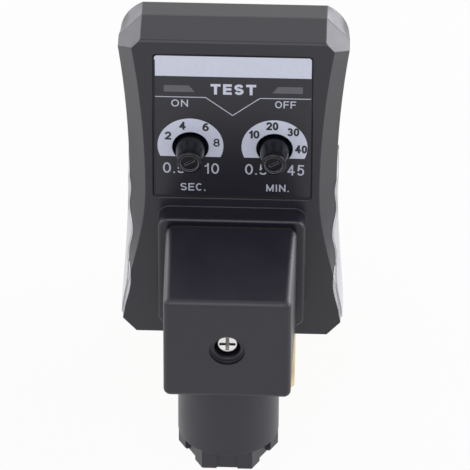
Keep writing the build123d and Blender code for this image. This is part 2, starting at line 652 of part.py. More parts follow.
def rear_shell():
    body = rear_form()
    head_seat_y = HEAD_REAR_Y - CASE_HEAD_HEIGHT - FIT_GAP
    for index in range(RIB_COUNT):
        height = RIB_MIDDLE + (index - (RIB_COUNT - 1) / 2) * RIB_PITCH
        span = 2 * (WAIST[0] + RIB_PROUD)
        body += front_block(span, RIB_WIDTH, SEAM_Y + REAR_EDGE, HEAD_REAR_Y - REAR_EDGE, 0, height)
    body -= between(outer_outline(-SHELL_WALL), SEAM_Y, INNER_REAR_Y)
    for x, height in SCREW_SPOTS:
        body += front_disc(SCREW_POST_R, SEAM_Y, INNER_REAR_Y, x, height)
        body -= front_disc(CASE_SCREW_R + SLIDE_GAP, SEAM_Y, HEAD_REAR_Y, x, height)
        body -= front_disc(CASE_HEAD_R + SLIDE_GAP, head_seat_y, HEAD_REAR_Y, x, height)
    body -= front_disc(SCREW_HOLE_R, INNER_REAR_Y, HEAD_REAR_Y)
    body -= blade_slots(INNER_REAR_Y, HEAD_REAR_Y)
    return one_solid(body)


def shell_screws():
    screws = []
    for x, height in SCREW_SPOTS:
        head = front_disc(CASE_HEAD_R, HEAD_REAR_Y - CASE_HEAD_HEIGHT, HEAD_REAR_Y, x, height)
        shank = front_disc(CASE_SCREW_R, SEAM_Y - CASE_SCREW_LENGTH + 1, HEAD_REAR_Y, x, height)
        slot_floor = HEAD_REAR_Y - CASE_HEAD_HEIGHT / 2
        slot = front_block(SCREW_SLOT, 3 * CASE_HEAD_R, slot_floor, HEAD_REAR_Y, x, height)
        screws.append(one_solid(head + shank - slot))
    return Compound(screws)


def panel_overlay():
    """Printed film in the front recess, with holes for the two knobs."""
    middle = (PANEL_LOW + PANEL_HIGH) / 2
    film = Pos(0, middle) * RectangleRounded(PANEL_WIDTH, PANEL_HIGH - PANEL_LOW, FILM_CORNER)
    for side in (-1, 1):
        film -= Pos(side * DIAL_OFFSET, DIAL_HEIGHT) * Circle(DIAL_HOLE_R)
    floor_y = PANEL_Y + PANEL_RECESS
    return one_solid(between(film, floor_y - FILM_THICKNESS, floor_y))


# ---- electronics ----
def circuit_board():
    middle = (BOARD_LOW + BOARD_HIGH) / 2
    board = Pos(0, middle) * Rectangle(BOARD_WIDTH, BOARD_HIGH - BOARD_LOW)
    for x, height in SCREW_SPOTS:
        board -= Pos(x, height) * Circle(SCREW_POST_R + 2 * SLIDE_GAP)
    board -= Circle(SCREW_HOLE_R)
    return one_solid(between(board, BOARD_Y, BOARD_REAR_Y))


def trimmer(side):
    """Potentiometer body behind the panel, with the bore that its knob turns in."""
    x = side * DIAL_OFFSET
    front = BOARD_Y - TRIMMER_DEPTH
    can = front_block(TRIMMER_SIDE, TRIMMER_SIDE, front, BOARD_Y, x, DIAL_HEIGHT)
    can = chamfer(can.edges().filter_by(Axis.Y), 0.8)
    bore_end = front + SPINDLE_REACH + SEAT_GAP
    return one_solid(can - front_disc(SPINDLE_R + SLIDE_GAP, front, bore_end, x, DIAL_HEIGHT))


def trimmer_knob(side):
    """Tapered adjusting knob with a dished, slotted end."""
    front = PANEL_Y - KNOB_OUT
    base = BOARD_Y - TRIMMER_DEPTH - SEAT_GAP
    length = base - front
    taper = Rot(90, 0, 0) * Cone(KNOB_BASE_R, KNOB_END_R, length)
    taper = fillet(taper.edges().sort_by(Axis.Y)[0], KNOB_EDGE)
    taper = Pos(side * DIAL_OFFSET, (front + base) / 2, PLUG_AXIS_Z + DIAL_HEIGHT) * taper
    spot = (side * DIAL_OFFSET, DIAL_HEIGHT)
    dish_floor = front + KNOB_DISH_DEPTH
    taper -= front_disc(KNOB_DISH_R, front, dish_floor, *spot)
    slot = Pos(*spot) * Rot(0, 0, KNOB_SLOT_TILT) * Rectangle(KNOB_SLOT_LENGTH, KNOB_SLOT_WIDTH)
    taper -= between(slot, front, dish_floor + KNOB_SLOT_DEPTH)
    taper += front_disc(SPINDLE_R, base, BOARD_Y - TRIMMER_DEPTH + SPINDLE_REACH, *spot)
    return one_solid(taper)


def lamp(side):
    """Round lamp that lights a window of the film from behind."""
    tip = PANEL_Y + PANEL_RECESS + SEAT_GAP
    spot = (side * LAMP_OFFSET, LAMP_HEIGHT)
    body = front_disc(LAMP_R, tip, BOARD_Y, *spot)
    body = fillet(body.edges().sort_by(Axis.Y)[0], LAMP_R * 0.8)
    return one_solid(body + front_disc(LAMP_R + LAMP_FLANGE, BOARD_Y - 1.0, BOARD_Y, *spot))


def test_switch():
    front = BOARD_Y - SWITCH_DEPTH
    body = front_block(SWITCH_SIDE, SWITCH_SIDE, front, BOARD_Y, 0, LAMP_HEIGHT)
    well = front_disc(TEST_R + SLIDE_GAP, front, front + 1 + TEST_TRAVEL + SEAT_GAP, 0, LAMP_HEIGHT)
    return one_solid(body - well)


def test_button():
    """Plunger of the test switch, just under the film."""
    tip = PANEL_Y + PANEL_RECESS + SEAT_GAP
    return front_disc(TEST_R, tip, BOARD_Y - SWITCH_DEPTH + 1, 0, LAMP_HEIGHT)


def board_capacitor():
    rear = BOARD_REAR_Y + CAPACITOR_DEPTH
    can = front_block(2 * CAPACITOR_R, CAPACITOR_LENGTH, BOARD_REAR_Y, rear, *CAPACITOR_SPOT)
    return fillet(can.edges().filter_by(Axis.Z), 0.8)


def board_triac():
    x, height = TRIAC_SPOT
    rear = BOARD_REAR_Y + TRIAC_DEPTH
    body = front_block(TRIAC_WIDTH, TRIAC_HEIGHT, BOARD_REAR_Y, rear, x, height)
    tab_hole = front_disc(TRIAC_HOLE_R, BOARD_REAR_Y, rear, x, height + TRIAC_HEIGHT / 4)
    return one_solid(body - tab_hole)


def output_sockets():
    """Three spring sockets on the back of the board that grip the coil's blades."""
    sockets = []
    rear = BOARD_REAR_Y + SOCKET_LENGTH
    slots = blade_slots(BOARD_REAR_Y, rear)
    for x, height, turn in BLADE_SPOTS:
        outline = Pos(x, height) * Rot(0, 0, turn) * Rectangle(SOCKET_DEPTH, SOCKET_WIDTH)
        sockets.append(one_solid(between(outline, BOARD_REAR_Y, rear) - slots))
    return Compound(sockets)


def input_pins():
    """Blades that stand out of the plinth for the cable connector."""
    return Compound(blades(PLINTH_Y - PLUG_BLADE_LENGTH, BOARD_Y))


# ---- cable connector ----
def connector_gasket():
    pad = RectangleRounded(CONNECTOR_BASE[0] - 0.8, CONNECTOR_BASE[1] - 0.8, CONNECTOR_CORNER)
    opening = [2 * BLADE_OFFSET + margin for margin in GASKET_MARGINS]
    window = RectangleRounded(*opening, 1)
    return one_solid(between(pad - window, CONNECTOR_Y, PLINTH_Y))


def connector_box(inset, y_front):
    """Tapered square box of the connector, moved inwards by inset."""
    reach = (CONNECTOR_Y - y_front) / CONNECTOR_DEPTH
    near = [base + (face - base) * reach for base, face in zip(CONNECTOR_BASE, CONNECTOR_FACE)]
    corner = CONNECTOR_CORNER
    back = RectangleRounded(CONNECTOR_BASE[0] - 2 * inset, CONNECTOR_BASE[1] - 2 * inset, corner)
    front = RectangleRounded(near[0] - 2 * inset, near[1] - 2 * inset, corner)
    return loft([facing(CONNECTOR_Y) * back, facing(y_front) * front], ruled=True)


def gland_tube(radius, z_low, z_high):
    """Round bar down the cable axis; heights from the plug axis."""
    return upright(radius, PLUG_AXIS_Z + z_low, PLUG_AXIS_Z + z_high, 0, GLAND_Y)


def connector_housing():
    box = connector_box(0.0, CONNECTOR_FACE_Y)
    box = fillet(box.faces().sort_by(Axis.Y)[0].edges(), CONNECTOR_EDGE)
    floor = -CONNECTOR_FACE[1] / 2 + CONNECTOR_WALL
    body = box + gland_tube(GLAND_R, GLAND_RIM, floor)
    body -= connector_box(CONNECTOR_WALL, WELL_FLOOR_Y)
    body += front_disc(SCREW_TOWER_R, WELL_FLOOR_Y, CONNECTOR_Y - INSERT_DEPTH)
    body -= front_disc(SCREW_WELL_R, CONNECTOR_FACE_Y, CONNECTOR_FACE_Y + SCREW_WELL_STEP_DEPTH)
    body -= front_disc(SCREW_WELL_STEP_R, CONNECTOR_FACE_Y, WELL_FLOOR_Y)
    body -= front_disc(SCREW_HOLE_R, WELL_FLOOR_Y, CONNECTOR_Y - INSERT_DEPTH)
    grommet_top = GLAND_RIM + GLAND_SHANK + GLAND_WASHER + GROMMET_LENGTH
    body -= gland_tube(GLAND_BORE_R, GLAND_RIM, grommet_top)
    body -= gland_tube(GLAND_THROAT_R, grommet_top, floor)
    return one_solid(body)


def contact_boxes(grow, y_front, y_rear):
    """Outlines of the three contacts inside the insert."""
    one = Rectangle(CONTACT_THICKNESS + 2 * grow, CONTACT_WIDTH + 2 * grow)
    return [between(Pos(x, h) * Rot(0, 0, turn) * one, y_front, y_rear) for x, h, turn in BLADE_SPOTS]


def connector_insert():
    """Contact carrier: the blades enter its rear, the wire screws its front."""
    front, rear = CONNECTOR_Y - INSERT_DEPTH + FIT_GAP, CONNECTOR_Y
    tall = INSERT_HIGH - INSERT_LOW
    outline = Pos(0, (INSERT_HIGH + INSERT_LOW) / 2) * RectangleRounded(INSERT_WIDTH, tall, INSERT_FILLET)
    body = between(outline, front, rear)
    body -= front_disc(SCREW_HOLE_R, front, rear)
    for pocket in contact_boxes(FIT_GAP, rear - CONTACT_LENGTH, rear):
        body -= pocket
    for x, height, _ in BLADE_SPOTS:
        body -= front_disc(CLAMP_HEAD_R + SLIDE_GAP, front, rear - CONTACT_LENGTH, x, height)
    return one_solid(body)


def connector_contacts():
    rear = CONNECTOR_Y - SEAT_GAP
    front = CONNECTOR_Y - CONTACT_LENGTH + SEAT_GAP
    slots = blade_slots(PLINTH_Y - PLUG_BLADE_LENGTH - 2 * SEAT_GAP, rear)
    return Compound([one_solid(box - slots) for box in contact_boxes(0, front, rear)])


def terminal_screws():
    """Slotted screws that clamp the wires, one on the end of each contact."""
    seat = CONNECTOR_Y - CONTACT_LENGTH
    top = seat - CLAMP_HEAD_HEIGHT
    screws = []
    for x, height, _ in BLADE_SPOTS:
        head = front_disc(CLAMP_HEAD_R, top, seat, x, height)
        slot = front_block(SCREW_SLOT, 3 * CLAMP_HEAD_R, top, top + CLAMP_HEAD_HEIGHT / 2, x, height)
        screws.append(one_solid(head - slot))
    return Compound(screws)


def central_screw():
    head = front_disc(SCREW_HEAD_R, SCREW_HEAD_Y, SCREW_SEAT_Y)
    head = fillet(head.edges().sort_by(Axis.Y)[0], 0.4)
    body = head + front_disc(SCREW_R, SCREW_SEAT_Y, COIL_FACE_Y + SCREW_TIP)
    for turn in (0, 90):
        arm = Rot(0, 0, turn) * Rectangle(CROSS_WIDTH, 1.5 * SCREW_HEAD_R)
        body -= between(arm, SCREW_HEAD_Y, SCREW_HEAD_Y + CROSS_DEPTH)
    return one_solid(body)


def screw_washer():
    ring = Circle(SCREW_WELL_STEP_R - SLIDE_GAP) - Circle(SCREW_R + SLIDE_GAP)
    return one_solid(between(ring, SCREW_SEAT_Y, WELL_FLOOR_Y))


def gland_nut():
    """Pressure nut: hexagon with raised corner lugs and a threaded shank up inside the gland."""
    low = GLAND_RIM - GLAND_NUT_HEIGHT
    flats = GLAND_NUT_R * math.sqrt(3)
    body = hexagon(flats, PLUG_AXIS_Z + low, PLUG_AXIS_Z + GLAND_RIM, GLAND_Y)
    body = chamfer(body.faces().sort_by(Axis.Z)[0].edges(), GLAND_NUT_EDGE)
    notch_width, notch_depth = GLAND_NUT_NOTCH
    for index in range(6):
        cut = Pos(flats / 2, 0) * Rectangle(2 * notch_depth, notch_width)
        spot = Pos(0, GLAND_Y) * Rot(0, 0, 30 + 60 * index) * cut
        body -= extrude(Plane.XY.offset(PLUG_AXIS_Z + low) * spot, amount=GLAND_NUT_HEIGHT)
    body += gland_tube(GLAND_SHANK_R, GLAND_RIM, GLAND_RIM + GLAND_SHANK)
    body -= gland_tube(CABLE_BORE_R, low, GLAND_RIM + GLAND_SHANK)
    return one_solid(body)


def gland_washer():
    low = GLAND_RIM + GLAND_SHANK
    high = low + GLAND_WASHER
    return gland_tube(GLAND_SHANK_R, low, high) - gland_tube(CABLE_BORE_R, low, high)


def gland_grommet():
    low = GLAND_RIM + GLAND_SHANK + GLAND_WASHER
    high = low + GROMMET_LENGTH
    return gland_tube(GLAND_SHANK_R, low, high) - gland_tube(GROMMET_BORE_R, low, high)


def all_parts():
    left_grip, right_grip = grips()
    return {
        "valve_body": valve_body(),
        "bonnet": bonnet(),
        "bonnet_o_ring": bonnet_o_ring(),
        "armature_tube": armature_tube(),
        "fixed_core": fixed_core(),
        "shading_ring": shading_ring(),
        "plunger": plunger(),
        "plunger_seal": plunger_seal(),
        "plunger_spring": plunger_spring(),
        "coil_washer": coil_washer(),
        "coil_nut": coil_nut(),
        "coil_housing": coil_housing(),
        "coil_yoke": coil_yoke(),
        "coil_bobbin": coil_bobbin(),
        "coil_winding": coil_winding(),
        "coil_terminals": coil_terminals(),
        "coil_gasket": coil_gasket(),
        "front_shell": front_shell(),
        "rear_shell": rear_shell(),
        "left_side_grip": left_grip,
        "right_side_grip": right_grip,
        "shell_screws": shell_screws(),
        "panel_overlay": panel_overlay(),
        "circuit_board": circuit_board(),
        "on_time_trimmer": trimmer(-1),
        "off_time_trimmer": trimmer(1),
        "on_time_knob": trimmer_knob(-1),
        "off_time_knob": trimmer_knob(1),
        "power_lamp": lamp(-1),
        "valve_lamp": lamp(1),
        "test_switch": test_switch(),
        "test_button": test_button(),
        "board_capacitor": board_capacitor(),
        "board_triac": board_triac(),
        "output_sockets": output_sockets(),
        "input_pins": input_pins(),
        "connector_gasket": connector_gasket(),
        "connector_housing": connector_housing(),
        "connector_insert": connector_insert(),
        "connector_contacts": connector_contacts(),
        "terminal_screws": terminal_screws(),
        "central_screw": central_screw(),
        "screw_washer": screw_washer(),
        "gland_nut": gland_nut(),
        "gland_washer": gland_washer(),
        "gland_grommet": gland_grommet(),
    }


os.makedirs("parts", exist_ok=True)
for node, shape in all_parts().items():
    export_step(shape, f"parts/{node}.step")
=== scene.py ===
"""Finishes, printed front film and studio for an automatic drain valve with a plug-on timer."""

import math

import bmesh
import bpy
from bpy.props import FloatProperty, FloatVectorProperty, PointerProperty
from mathutils import Matrix, Vector
from mathutils.bvhtree import BVHTree
from mathutils.geometry import delaunay_2d_cdt


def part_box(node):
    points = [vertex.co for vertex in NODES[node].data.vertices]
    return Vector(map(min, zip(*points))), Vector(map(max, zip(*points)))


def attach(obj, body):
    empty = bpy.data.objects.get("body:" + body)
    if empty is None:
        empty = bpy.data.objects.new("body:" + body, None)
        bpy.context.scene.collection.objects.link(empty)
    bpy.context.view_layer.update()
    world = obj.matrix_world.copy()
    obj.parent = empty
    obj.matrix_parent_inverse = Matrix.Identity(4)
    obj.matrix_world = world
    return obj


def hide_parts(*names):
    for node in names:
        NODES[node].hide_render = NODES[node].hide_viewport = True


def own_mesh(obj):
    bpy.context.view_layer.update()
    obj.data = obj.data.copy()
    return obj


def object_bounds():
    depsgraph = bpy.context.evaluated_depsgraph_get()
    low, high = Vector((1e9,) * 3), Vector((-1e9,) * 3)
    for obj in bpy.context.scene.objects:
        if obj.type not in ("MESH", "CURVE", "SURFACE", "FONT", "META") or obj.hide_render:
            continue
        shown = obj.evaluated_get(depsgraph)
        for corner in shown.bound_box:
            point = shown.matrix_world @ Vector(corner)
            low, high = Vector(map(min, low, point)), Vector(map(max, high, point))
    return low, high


bl_info = {
    "name": "Automatic drain valve",
    "version": (1, 0, 0),
    "blender": (4, 5, 0),
    "location": "3D View > Sidebar > Drain valve",
    "description": "Dresses the drain valve in its finishes, prints its front film and lights it",
    "category": "Object",
}

MM = 0.001

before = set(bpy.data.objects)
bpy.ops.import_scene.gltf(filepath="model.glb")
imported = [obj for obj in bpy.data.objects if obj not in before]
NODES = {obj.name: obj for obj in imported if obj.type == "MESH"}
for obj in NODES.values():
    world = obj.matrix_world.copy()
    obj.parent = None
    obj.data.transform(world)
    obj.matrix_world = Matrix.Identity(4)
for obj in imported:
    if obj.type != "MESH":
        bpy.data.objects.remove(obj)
CAD_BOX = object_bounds()
FILM_LOW, FILM_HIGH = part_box("panel_overlay")
SCREW_LOW, SCREW_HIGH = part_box("central_screw")
FILM_FRONT_Y = FILM_LOW.y
PLUG_AXIS_Z = (SCREW_LOW.z + SCREW_HIGH.z) / 2

# ---- colours that no setting changes ----
STAINLESS = (0.62, 0.61, 0.59)
ZINC_PLATE = (0.70, 0.68, 0.63)
DULL_ZINC = (0.66, 0.64, 0.58)
BRIGHT_ZINC = (0.86, 0.83, 0.83)
COPPER_RING = (0.80, 0.42, 0.24)
WIRE_DARK, WIRE_BRIGHT = (0.42, 0.16, 0.06), (0.80, 0.38, 0.16)
TIN_PLATE = (0.74, 0.73, 0.70)
SEAL_BLACK = (0.012, 0.012, 0.012)
GASKET_BLACK = (0.02, 0.02, 0.021)
BOBBIN_WHITE = (0.62, 0.61, 0.55)
BUTTON_WHITE = (0.60, 0.59, 0.55)
# the knobs' second colour is a painted highlight on their rims
KNOB_BLACK, KNOB_RIM_HIGHLIGHT = (0.004, 0.004, 0.006), (0.20, 0.20, 0.24)
TRIMMER_BLUE = (0.006, 0.010, 0.030)
BOARD_DARK, BOARD_GREEN = (0.012, 0.10, 0.045), (0.02, 0.16, 0.07)
LAMP_GREEN = (0.10, 0.42, 0.13)
LAMP_RED = (0.50, 0.05, 0.04)
SWITCH_BLACK = (0.014, 0.014, 0.014)
TRIAC_BLACK = (0.016, 0.016, 0.016)
# the next colour is painted shade in the recess of the central screw's head
RECESS_SHADE = (0.03, 0.03, 0.03)
LABEL_WHITE = (0.63, 0.66, 0.76)
DARK_INK = (0.012, 0.013, 0.018)
# the next colour is painted shade along the film's left and bottom edges, where the recess edge shades it
EDGE_SHADE = (0.002, 0.002, 0.003)
WINDOW_GREY = (0.10, 0.10, 0.115)
REAR_PALER = 0.03       # the rear shell's plastic is this much paler than the front shell's
DIM_INK_SHARE = 0.85    # brightness of the thin lettering against the dials

# ---- front film, in mm: across from the centre line, height above the plug axis ----
PRINT_THICKNESS = 0.02
FILM_MARGIN = 0.12
LABEL_LOW = 47.3
LABEL_CORNER = 0.6
# the next four place the painted shade along the film's left and bottom edges
SHADE_MARGIN = 0.08
SHADE_SIDE = 0.16
SHADE_FOOT = 0.42
SHADE_DROP = 1.0
WINDOWS = (
    ("power_lamp_window", ((-14.36, 43.35), (-7.9, 43.35), (-9.1, 45.0), (-14.36, 45.0))),
    ("valve_lamp_window", ((8.26, 43.45), (14.57, 43.45), (14.57, 45.1), (9.4, 45.1))),
)
DIVIDER = ((-16.3, 42.05), (-5.66, 42.05), (0.0, 37.6), (5.67, 42.1), (16.3, 42.15))
# name, words, box (left, right, low, high), weight of the stroke, gap between letters
TITLE = ("test_word", "TEST", (-4.62, 4.86, 42.85, 45.5), 0.62, 0.52)
WORDS = (
    ("on_word", "ON", (-12.8, -9.3, 39.6, 41.4), 0.26, 0.4),
    ("off_word", "OFF", (8.81, 13.2, 39.7, 41.5), 0.26, 0.3),
    ("seconds_word", "SEC.", (-10.9, -5.65, 18.1, 20.0), 0.28, 0.32),
    ("minutes_word", "MIN.", (7.15, 11.9, 18.25, 20.1), 0.28, 0.42),
)
# dial, its side, then its numbers: place from the dial's centre, half width, weight of the stroke
DIALS = (
    ("on_time", -1, (("2", -4.70, 2.84, 0.68, 0.43), ("4", -1.66, 5.45, 0.68, 0.43),
                     ("6", 3.17, 5.19, 0.68, 0.43), ("8", 5.47, 1.28, 0.68, 0.34))),
    ("off_time", 1, (("10", -4.28, 3.58, 1.12, 0.43), ("20", -0.50, 5.80, 1.27, 0.43),
                     ("30", 3.88, 4.37, 1.27, 0.43), ("40", 5.58, 0.02, 1.27, 0.43))),
)
NUMBER_HALF_HEIGHT = 1.03
NUMBER_GAP = 0.1
SCALE_END_LOW, SCALE_END_HIGH = 22.55, 25.25
SCALE_END_WEIGHT = 0.34
SCALE_END_GAP = 0.5
SCALE_ENDS = (("on_time_low_mark", "0.5", -14.58, -9.9), ("on_time_high_mark", "10", -5.85, -2.8),
              ("off_time_low_mark", "0.5", 2.66, 7.3), ("off_time_high_mark", "45", 11.55, 15.08))

# ---- lip of each silver grip over the front edge of the case, in mm ----
# height above the plug axis, distance of the lip's inner edge from the centre line
LIP_EDGE = ((-2.4, 21.78), (-3.4, 21.6), (-4.5, 21.53), (-5.6, 21.52), (-6.8, 21.58), (-8.0, 21.74),
            (-9.2, 21.97), (-10.3, 22.22), (-11.4, 22.5), (-12.5, 22.76), (-14.0, 22.97), (-15.3, 23.16))
LIP_ROWS = 40
LIP_COLUMNS = 8
LIP_STEP = 0.05         # between two soundings of the surface under the lip
LIP_LAP = 0.15          # over the edge of the grip itself
LIP_REACH = 1.2         # where the search for the grip's edge ends
LIP_PROUD = 0.04        # to each side of the surface under the lip
LIP_CAST = 5.0          # soundings start this far in front of the film
NOTHING_THERE = 1.0     # m, the depth of a sounding that meets no surface

# ---- textures, and the painted shade in the recess of the central screw's head ----
FLAKE_SCALE = 9000.0    # cells per metre
WIRE_SCALE = 900.0
TRACK_SCALE = 260.0
RECESS_DEPTH = 0.8      # mm
RECESS_RADIUS = 2.0     # mm

# ---- studio, in metres where nothing else is said ----
SENSOR_WIDTH = 36.0     # mm
AIM_OFFSET = (0.631, -0.05, 6.7)    # mm, what the camera aims at, from the plug axis at the film's front
WORLD_LIGHT = 0.45
FLOOR_RADIUS = 3.0
FLOOR_SIDES = 96
FLOOR_CENTRE_Y = -0.03
FLOOR_GAP = 0.0005
FLOOR_WHITE_SEEN, FLOOR_WHITE_MIRRORED = 0.92, 0.95
LAMP_AIM = (0, -0.055, 0.035)
LAMP_COLOUR = (0.93, 0.93, 1.0)
# name, place, side and power in watts
LAMPS = (
    ("right_softbox", (0.85, 0.0, 0.40), 0.7, 4.2),
    ("left_softbox", (-0.85, -0.05, 0.40), 0.7, 2.4),
    ("right_rear_softbox", (0.66, 0.80, 0.12), 0.6, 4.5),
    ("left_rear_softbox", (-0.66, 0.80, 0.12), 0.6, 2.3),
    ("front_softbox", (-0.15, -1.1, 0.9), 0.9, 5.2),
)


# ---- shader maths ----
class Signal:
    """One output of a shader node. Arithmetic on it adds the Math nodes it stands for."""

    def __init__(self, shading, socket):
        self.shading = shading
        self.socket = socket

    def math(self, operation, first, second):
        return self.shading.node("ShaderNodeMath", {"operation": operation}, {0: first, 1: second})

    def __add__(self, other):
        return self.math("ADD", self, other)

    def __sub__(self, other):
        return self.math("SUBTRACT", self, other)

    def __rsub__(self, other):
        return self.math("SUBTRACT", other, self)

    def __mul__(self, other):
        return self.math("MULTIPLY", self, other)

    def __truediv__(self, other):
        return self.math("DIVIDE", self, other)

    def __rtruediv__(self, other):
        return self.math("DIVIDE", other, self)

    def __or__(self, other):
        """Whichever of two masks is larger."""
        return self.math("MAXIMUM", self, other)

    __radd__ = __add__
    __rmul__ = __mul__
    __ror__ = __or__


class Shading:
    """A tree of shader nodes being built."""

    def __init__(self, tree):
        self.tree = tree
        self.tree.nodes.clear()

    def feed(self, socket, value):
        """Links a signal to a socket, or sets the socket's own value."""
        if isinstance(value, Signal):
            self.tree.links.new(value.socket, socket)
        elif socket.type == "RGBA" and len(value) == 3:
            socket.default_value = (*value, 1.0)
        else:
            socket.default_value = value

    def node(self, kind, settings=None, inputs=None, output=0):
        """Adds one node: its settings first, a ramp's stops among them, then its sockets."""
        node = self.tree.nodes.new(kind)
        for name, value in (settings or {}).items():
            if name == "stops":
                ramp = node.color_ramp.elements
                while len(ramp) < len(value):
                    ramp.new(0.5)
                for element, (place, colour) in zip(ramp, value):
                    element.position = place
                    element.color = (*colour, 1.0)
            else:
                setattr(node, name, value)
        for name, value in (inputs or {}).items():
            self.feed(node.inputs[name], value)
        return Signal(self, node.outputs[output]) if node.outputs else None

    def ray(self, kind):
        """A mask that is 1 for one kind of ray, such as Camera or Glossy."""
        return self.node("ShaderNodeLightPath", output=f"Is {kind} Ray")


class Finish(Shading):
    """A material being built round one Principled shader."""

    def __init__(self, name, **inputs):
        self.material = bpy.data.materials.new(name)
        self.material.use_nodes = True
        super().__init__(self.material.node_tree)
        self.shader = self.tree.nodes.new("ShaderNodeBsdfPrincipled")
        self.output = self.tree.nodes.new("ShaderNodeOutputMaterial")
        self.tree.links.new(self.shader.outputs[0], self.output.inputs["Surface"])
        self.set(**inputs)

    def set(self, **inputs):
        """Feeds the Principled shader; Base_Color stands for its Base Color socket."""
        for name, value in inputs.items():
            self.feed(self.shader.inputs[name.replace("_", " ")], value)
        return self

    def fed(self, name):
        """The signal that feeds a socket of the Principled shader."""
        return Signal(self, self.shader.inputs[name].links[0].from_socket)

    def place(self, stretch=(1, 1, 1)):
        """The point being shaded, in the object's own frame, stretched for grain that runs one way."""
        point = self.node("ShaderNodeTexCoord", output="Object")
        if stretch == (1, 1, 1):
            return point
        return self.node("ShaderNodeVectorMath", {"operation": "MULTIPLY"}, {0: point, 1: stretch})

    def noise(self, grain_mm, detail=2.0, rough=0.5, stretch=(1, 1, 1)):
        """Cloudy noise from 0 to 1 whose blotches are about grain_mm across."""
        return self.node("ShaderNodeTexNoise", {"noise_dimensions": "3D"},
                         {"Vector": self.place(stretch), "Scale": 1 / (grain_mm * MM),
                          "Detail": detail, "Roughness": rough})

    def ramp(self, signal, *stops):
        """Turns a signal into greys between the stops, each a place and a level."""
        greys = [(place, (level, level, level)) for place, level in stops]
        return self.node("ShaderNodeValToRGB", {"stops": greys}, {0: signal})

    def mix(self, factor, first, second):
        """Mixes two colours."""
        return self.node("ShaderNodeMix", {"data_type": "RGBA"}, {0: factor, 6: first, 7: second}, output=2)

    def dot(self, first, second):
        """The dot product of two directions: 1 where they agree, 0 where they are square."""
        return self.node("ShaderNodeVectorMath", {"operation": "DOT_PRODUCT"},
                         {0: first, 1: second}, output=1)

    def tilt(self, axis):
        """How far the surface faces along an axis: 1 along it, 0 across it."""
        return self.dot(self.node("ShaderNodeNewGeometry", output="True Normal"), axis)

    def edges(self, radius_mm):
        """The softened normal near sharp edges, and a mask that is 1 on the edges themselves."""
        soft = self.node("ShaderNodeBevel", {"samples": 6}, {"Radius": radius_mm * MM})
        level = self.dot(soft, self.node("ShaderNodeNewGeometry", output="Normal"))
        return soft, self.ramp(1 - level, (0.0, 0.0), (0.12, 1.0))

    def bump(self, height, depth_mm, normal=None):
        """Relief of depth_mm between the height's 0 and 1."""
        inputs = {"Height": height, "Distance": depth_mm * MM, "Strength": 1.0}
        if normal is not None:
            inputs["Normal"] = normal
        return self.node("ShaderNodeBump", None, inputs)


def scaled(colour, share, lift=0.0):
    """A colour times a share, lifted a little, with no channel over 1."""
    return tuple(min(1.0, channel * share + lift) for channel in colour)


def dress(finish, slot, *names):
    """Gives CAD nodes a finish in place of their plain one."""
    for name in names:
        for holder in NODES[name].material_slots:
            holder.material = finish.material


# ---- families of finish ----
def moulding(name, colour, roughness, grain_mm, grain_depth_mm, edge_mm=0.25, **extra):
    """Injection moulded plastic: spark-eroded grain, slow sinks in gloss, and edges painted paler, partly as
    handling wear and partly as a painted highlight.
    """
    finish = Finish(name, IOR=1.54, **extra)
    soft, edge_mask = finish.edges(edge_mm)
    grain = finish.noise(grain_mm, detail=3.0, rough=0.6)
    cloud = finish.noise(6.0, detail=2.0)
    paler = scaled(colour, 1.3, lift=0.001)
    tint = finish.mix(finish.ramp(cloud, (0.3, 0.0), (0.7, 0.35)), colour, paler)
    # Paler edges: partly handling wear, partly a painted highlight along the edges.
    tint = finish.mix(edge_mask * 0.35, tint, paler)
    gloss = roughness + (cloud - 0.5) * 0.10 + (grain - 0.5) * 0.08 - edge_mask * 0.06
    return finish.set(Base_Color=tint, Roughness=gloss, Normal=finish.bump(grain, grain_depth_mm, soft))


def turned_metal(name, colour, roughness, stretch=(1, 1, 1), line_depth_mm=0.004, edge_mm=0.15):
    """Machined metal with fine tool lines and brighter edges, partly rubbed and partly a painted highlight.
    """
    finish = Finish(name, Metallic=1.0)
    soft, edge_mask = finish.edges(edge_mm)
    lines = finish.noise(0.5, detail=4.0, rough=0.7, stretch=stretch)
    cloud = finish.noise(5.0, detail=3.0)
    tint = finish.mix(finish.ramp(cloud, (0.35, 0.0), (0.75, 0.7)), colour, scaled(colour, 0.72))
    # Brighter edges: partly rubbed metal, partly a painted highlight along the edges.
    tint = finish.mix(edge_mask * 0.5, tint, scaled(colour, 1.12))
    gloss = roughness + (cloud - 0.5) * 0.16 + (lines - 0.5) * 0.12 - edge_mask * 0.05
    return finish.set(Base_Color=tint, Roughness=gloss, Normal=finish.bump(lines, line_depth_mm, soft))


def soft_rubber(name, colour):
    """Matt nitrile with a fine bloom."""
    finish = Finish(name, IOR=1.48)
    soft, edge_mask = finish.edges(0.2)
    bloom = finish.noise(1.2, detail=5.0, rough=0.7)
    dusty = scaled(colour, 1.8, lift=0.01)
    tint = finish.mix(finish.ramp(bloom, (0.4, 0.0), (0.75, 0.6)), colour, dusty)
    return finish.set(Base_Color=tint, Roughness=0.72 + (bloom - 0.5) * 0.2 - edge_mask * 0.1,
                      Normal=finish.bump(bloom, 0.02, soft))


def ink(name, colour, roughness=0.45):
    """Screen-printed ink: even colour, with the slight unevenness of the mesh it was pulled through."""
    finish = Finish(name, IOR=1.5)
    pull = finish.noise(0.8, detail=3.0)
    tint = finish.mix(pull, scaled(colour, 0.95), scaled(colour, 1.06, lift=0.002))
    return finish.set(Base_Color=tint, Roughness=roughness + (pull - 0.5) * 0.1,
                      Normal=finish.bump(finish.noise(0.25), 0.004))


# ---- new pieces ----
def on_film(across, height, lift):
    """A point on the film: across from its centre line, height above the plug axis and lift off it, in mm."""
    return Vector((across * MM, FILM_FRONT_Y - lift * MM, PLUG_AXIS_Z + height * MM))


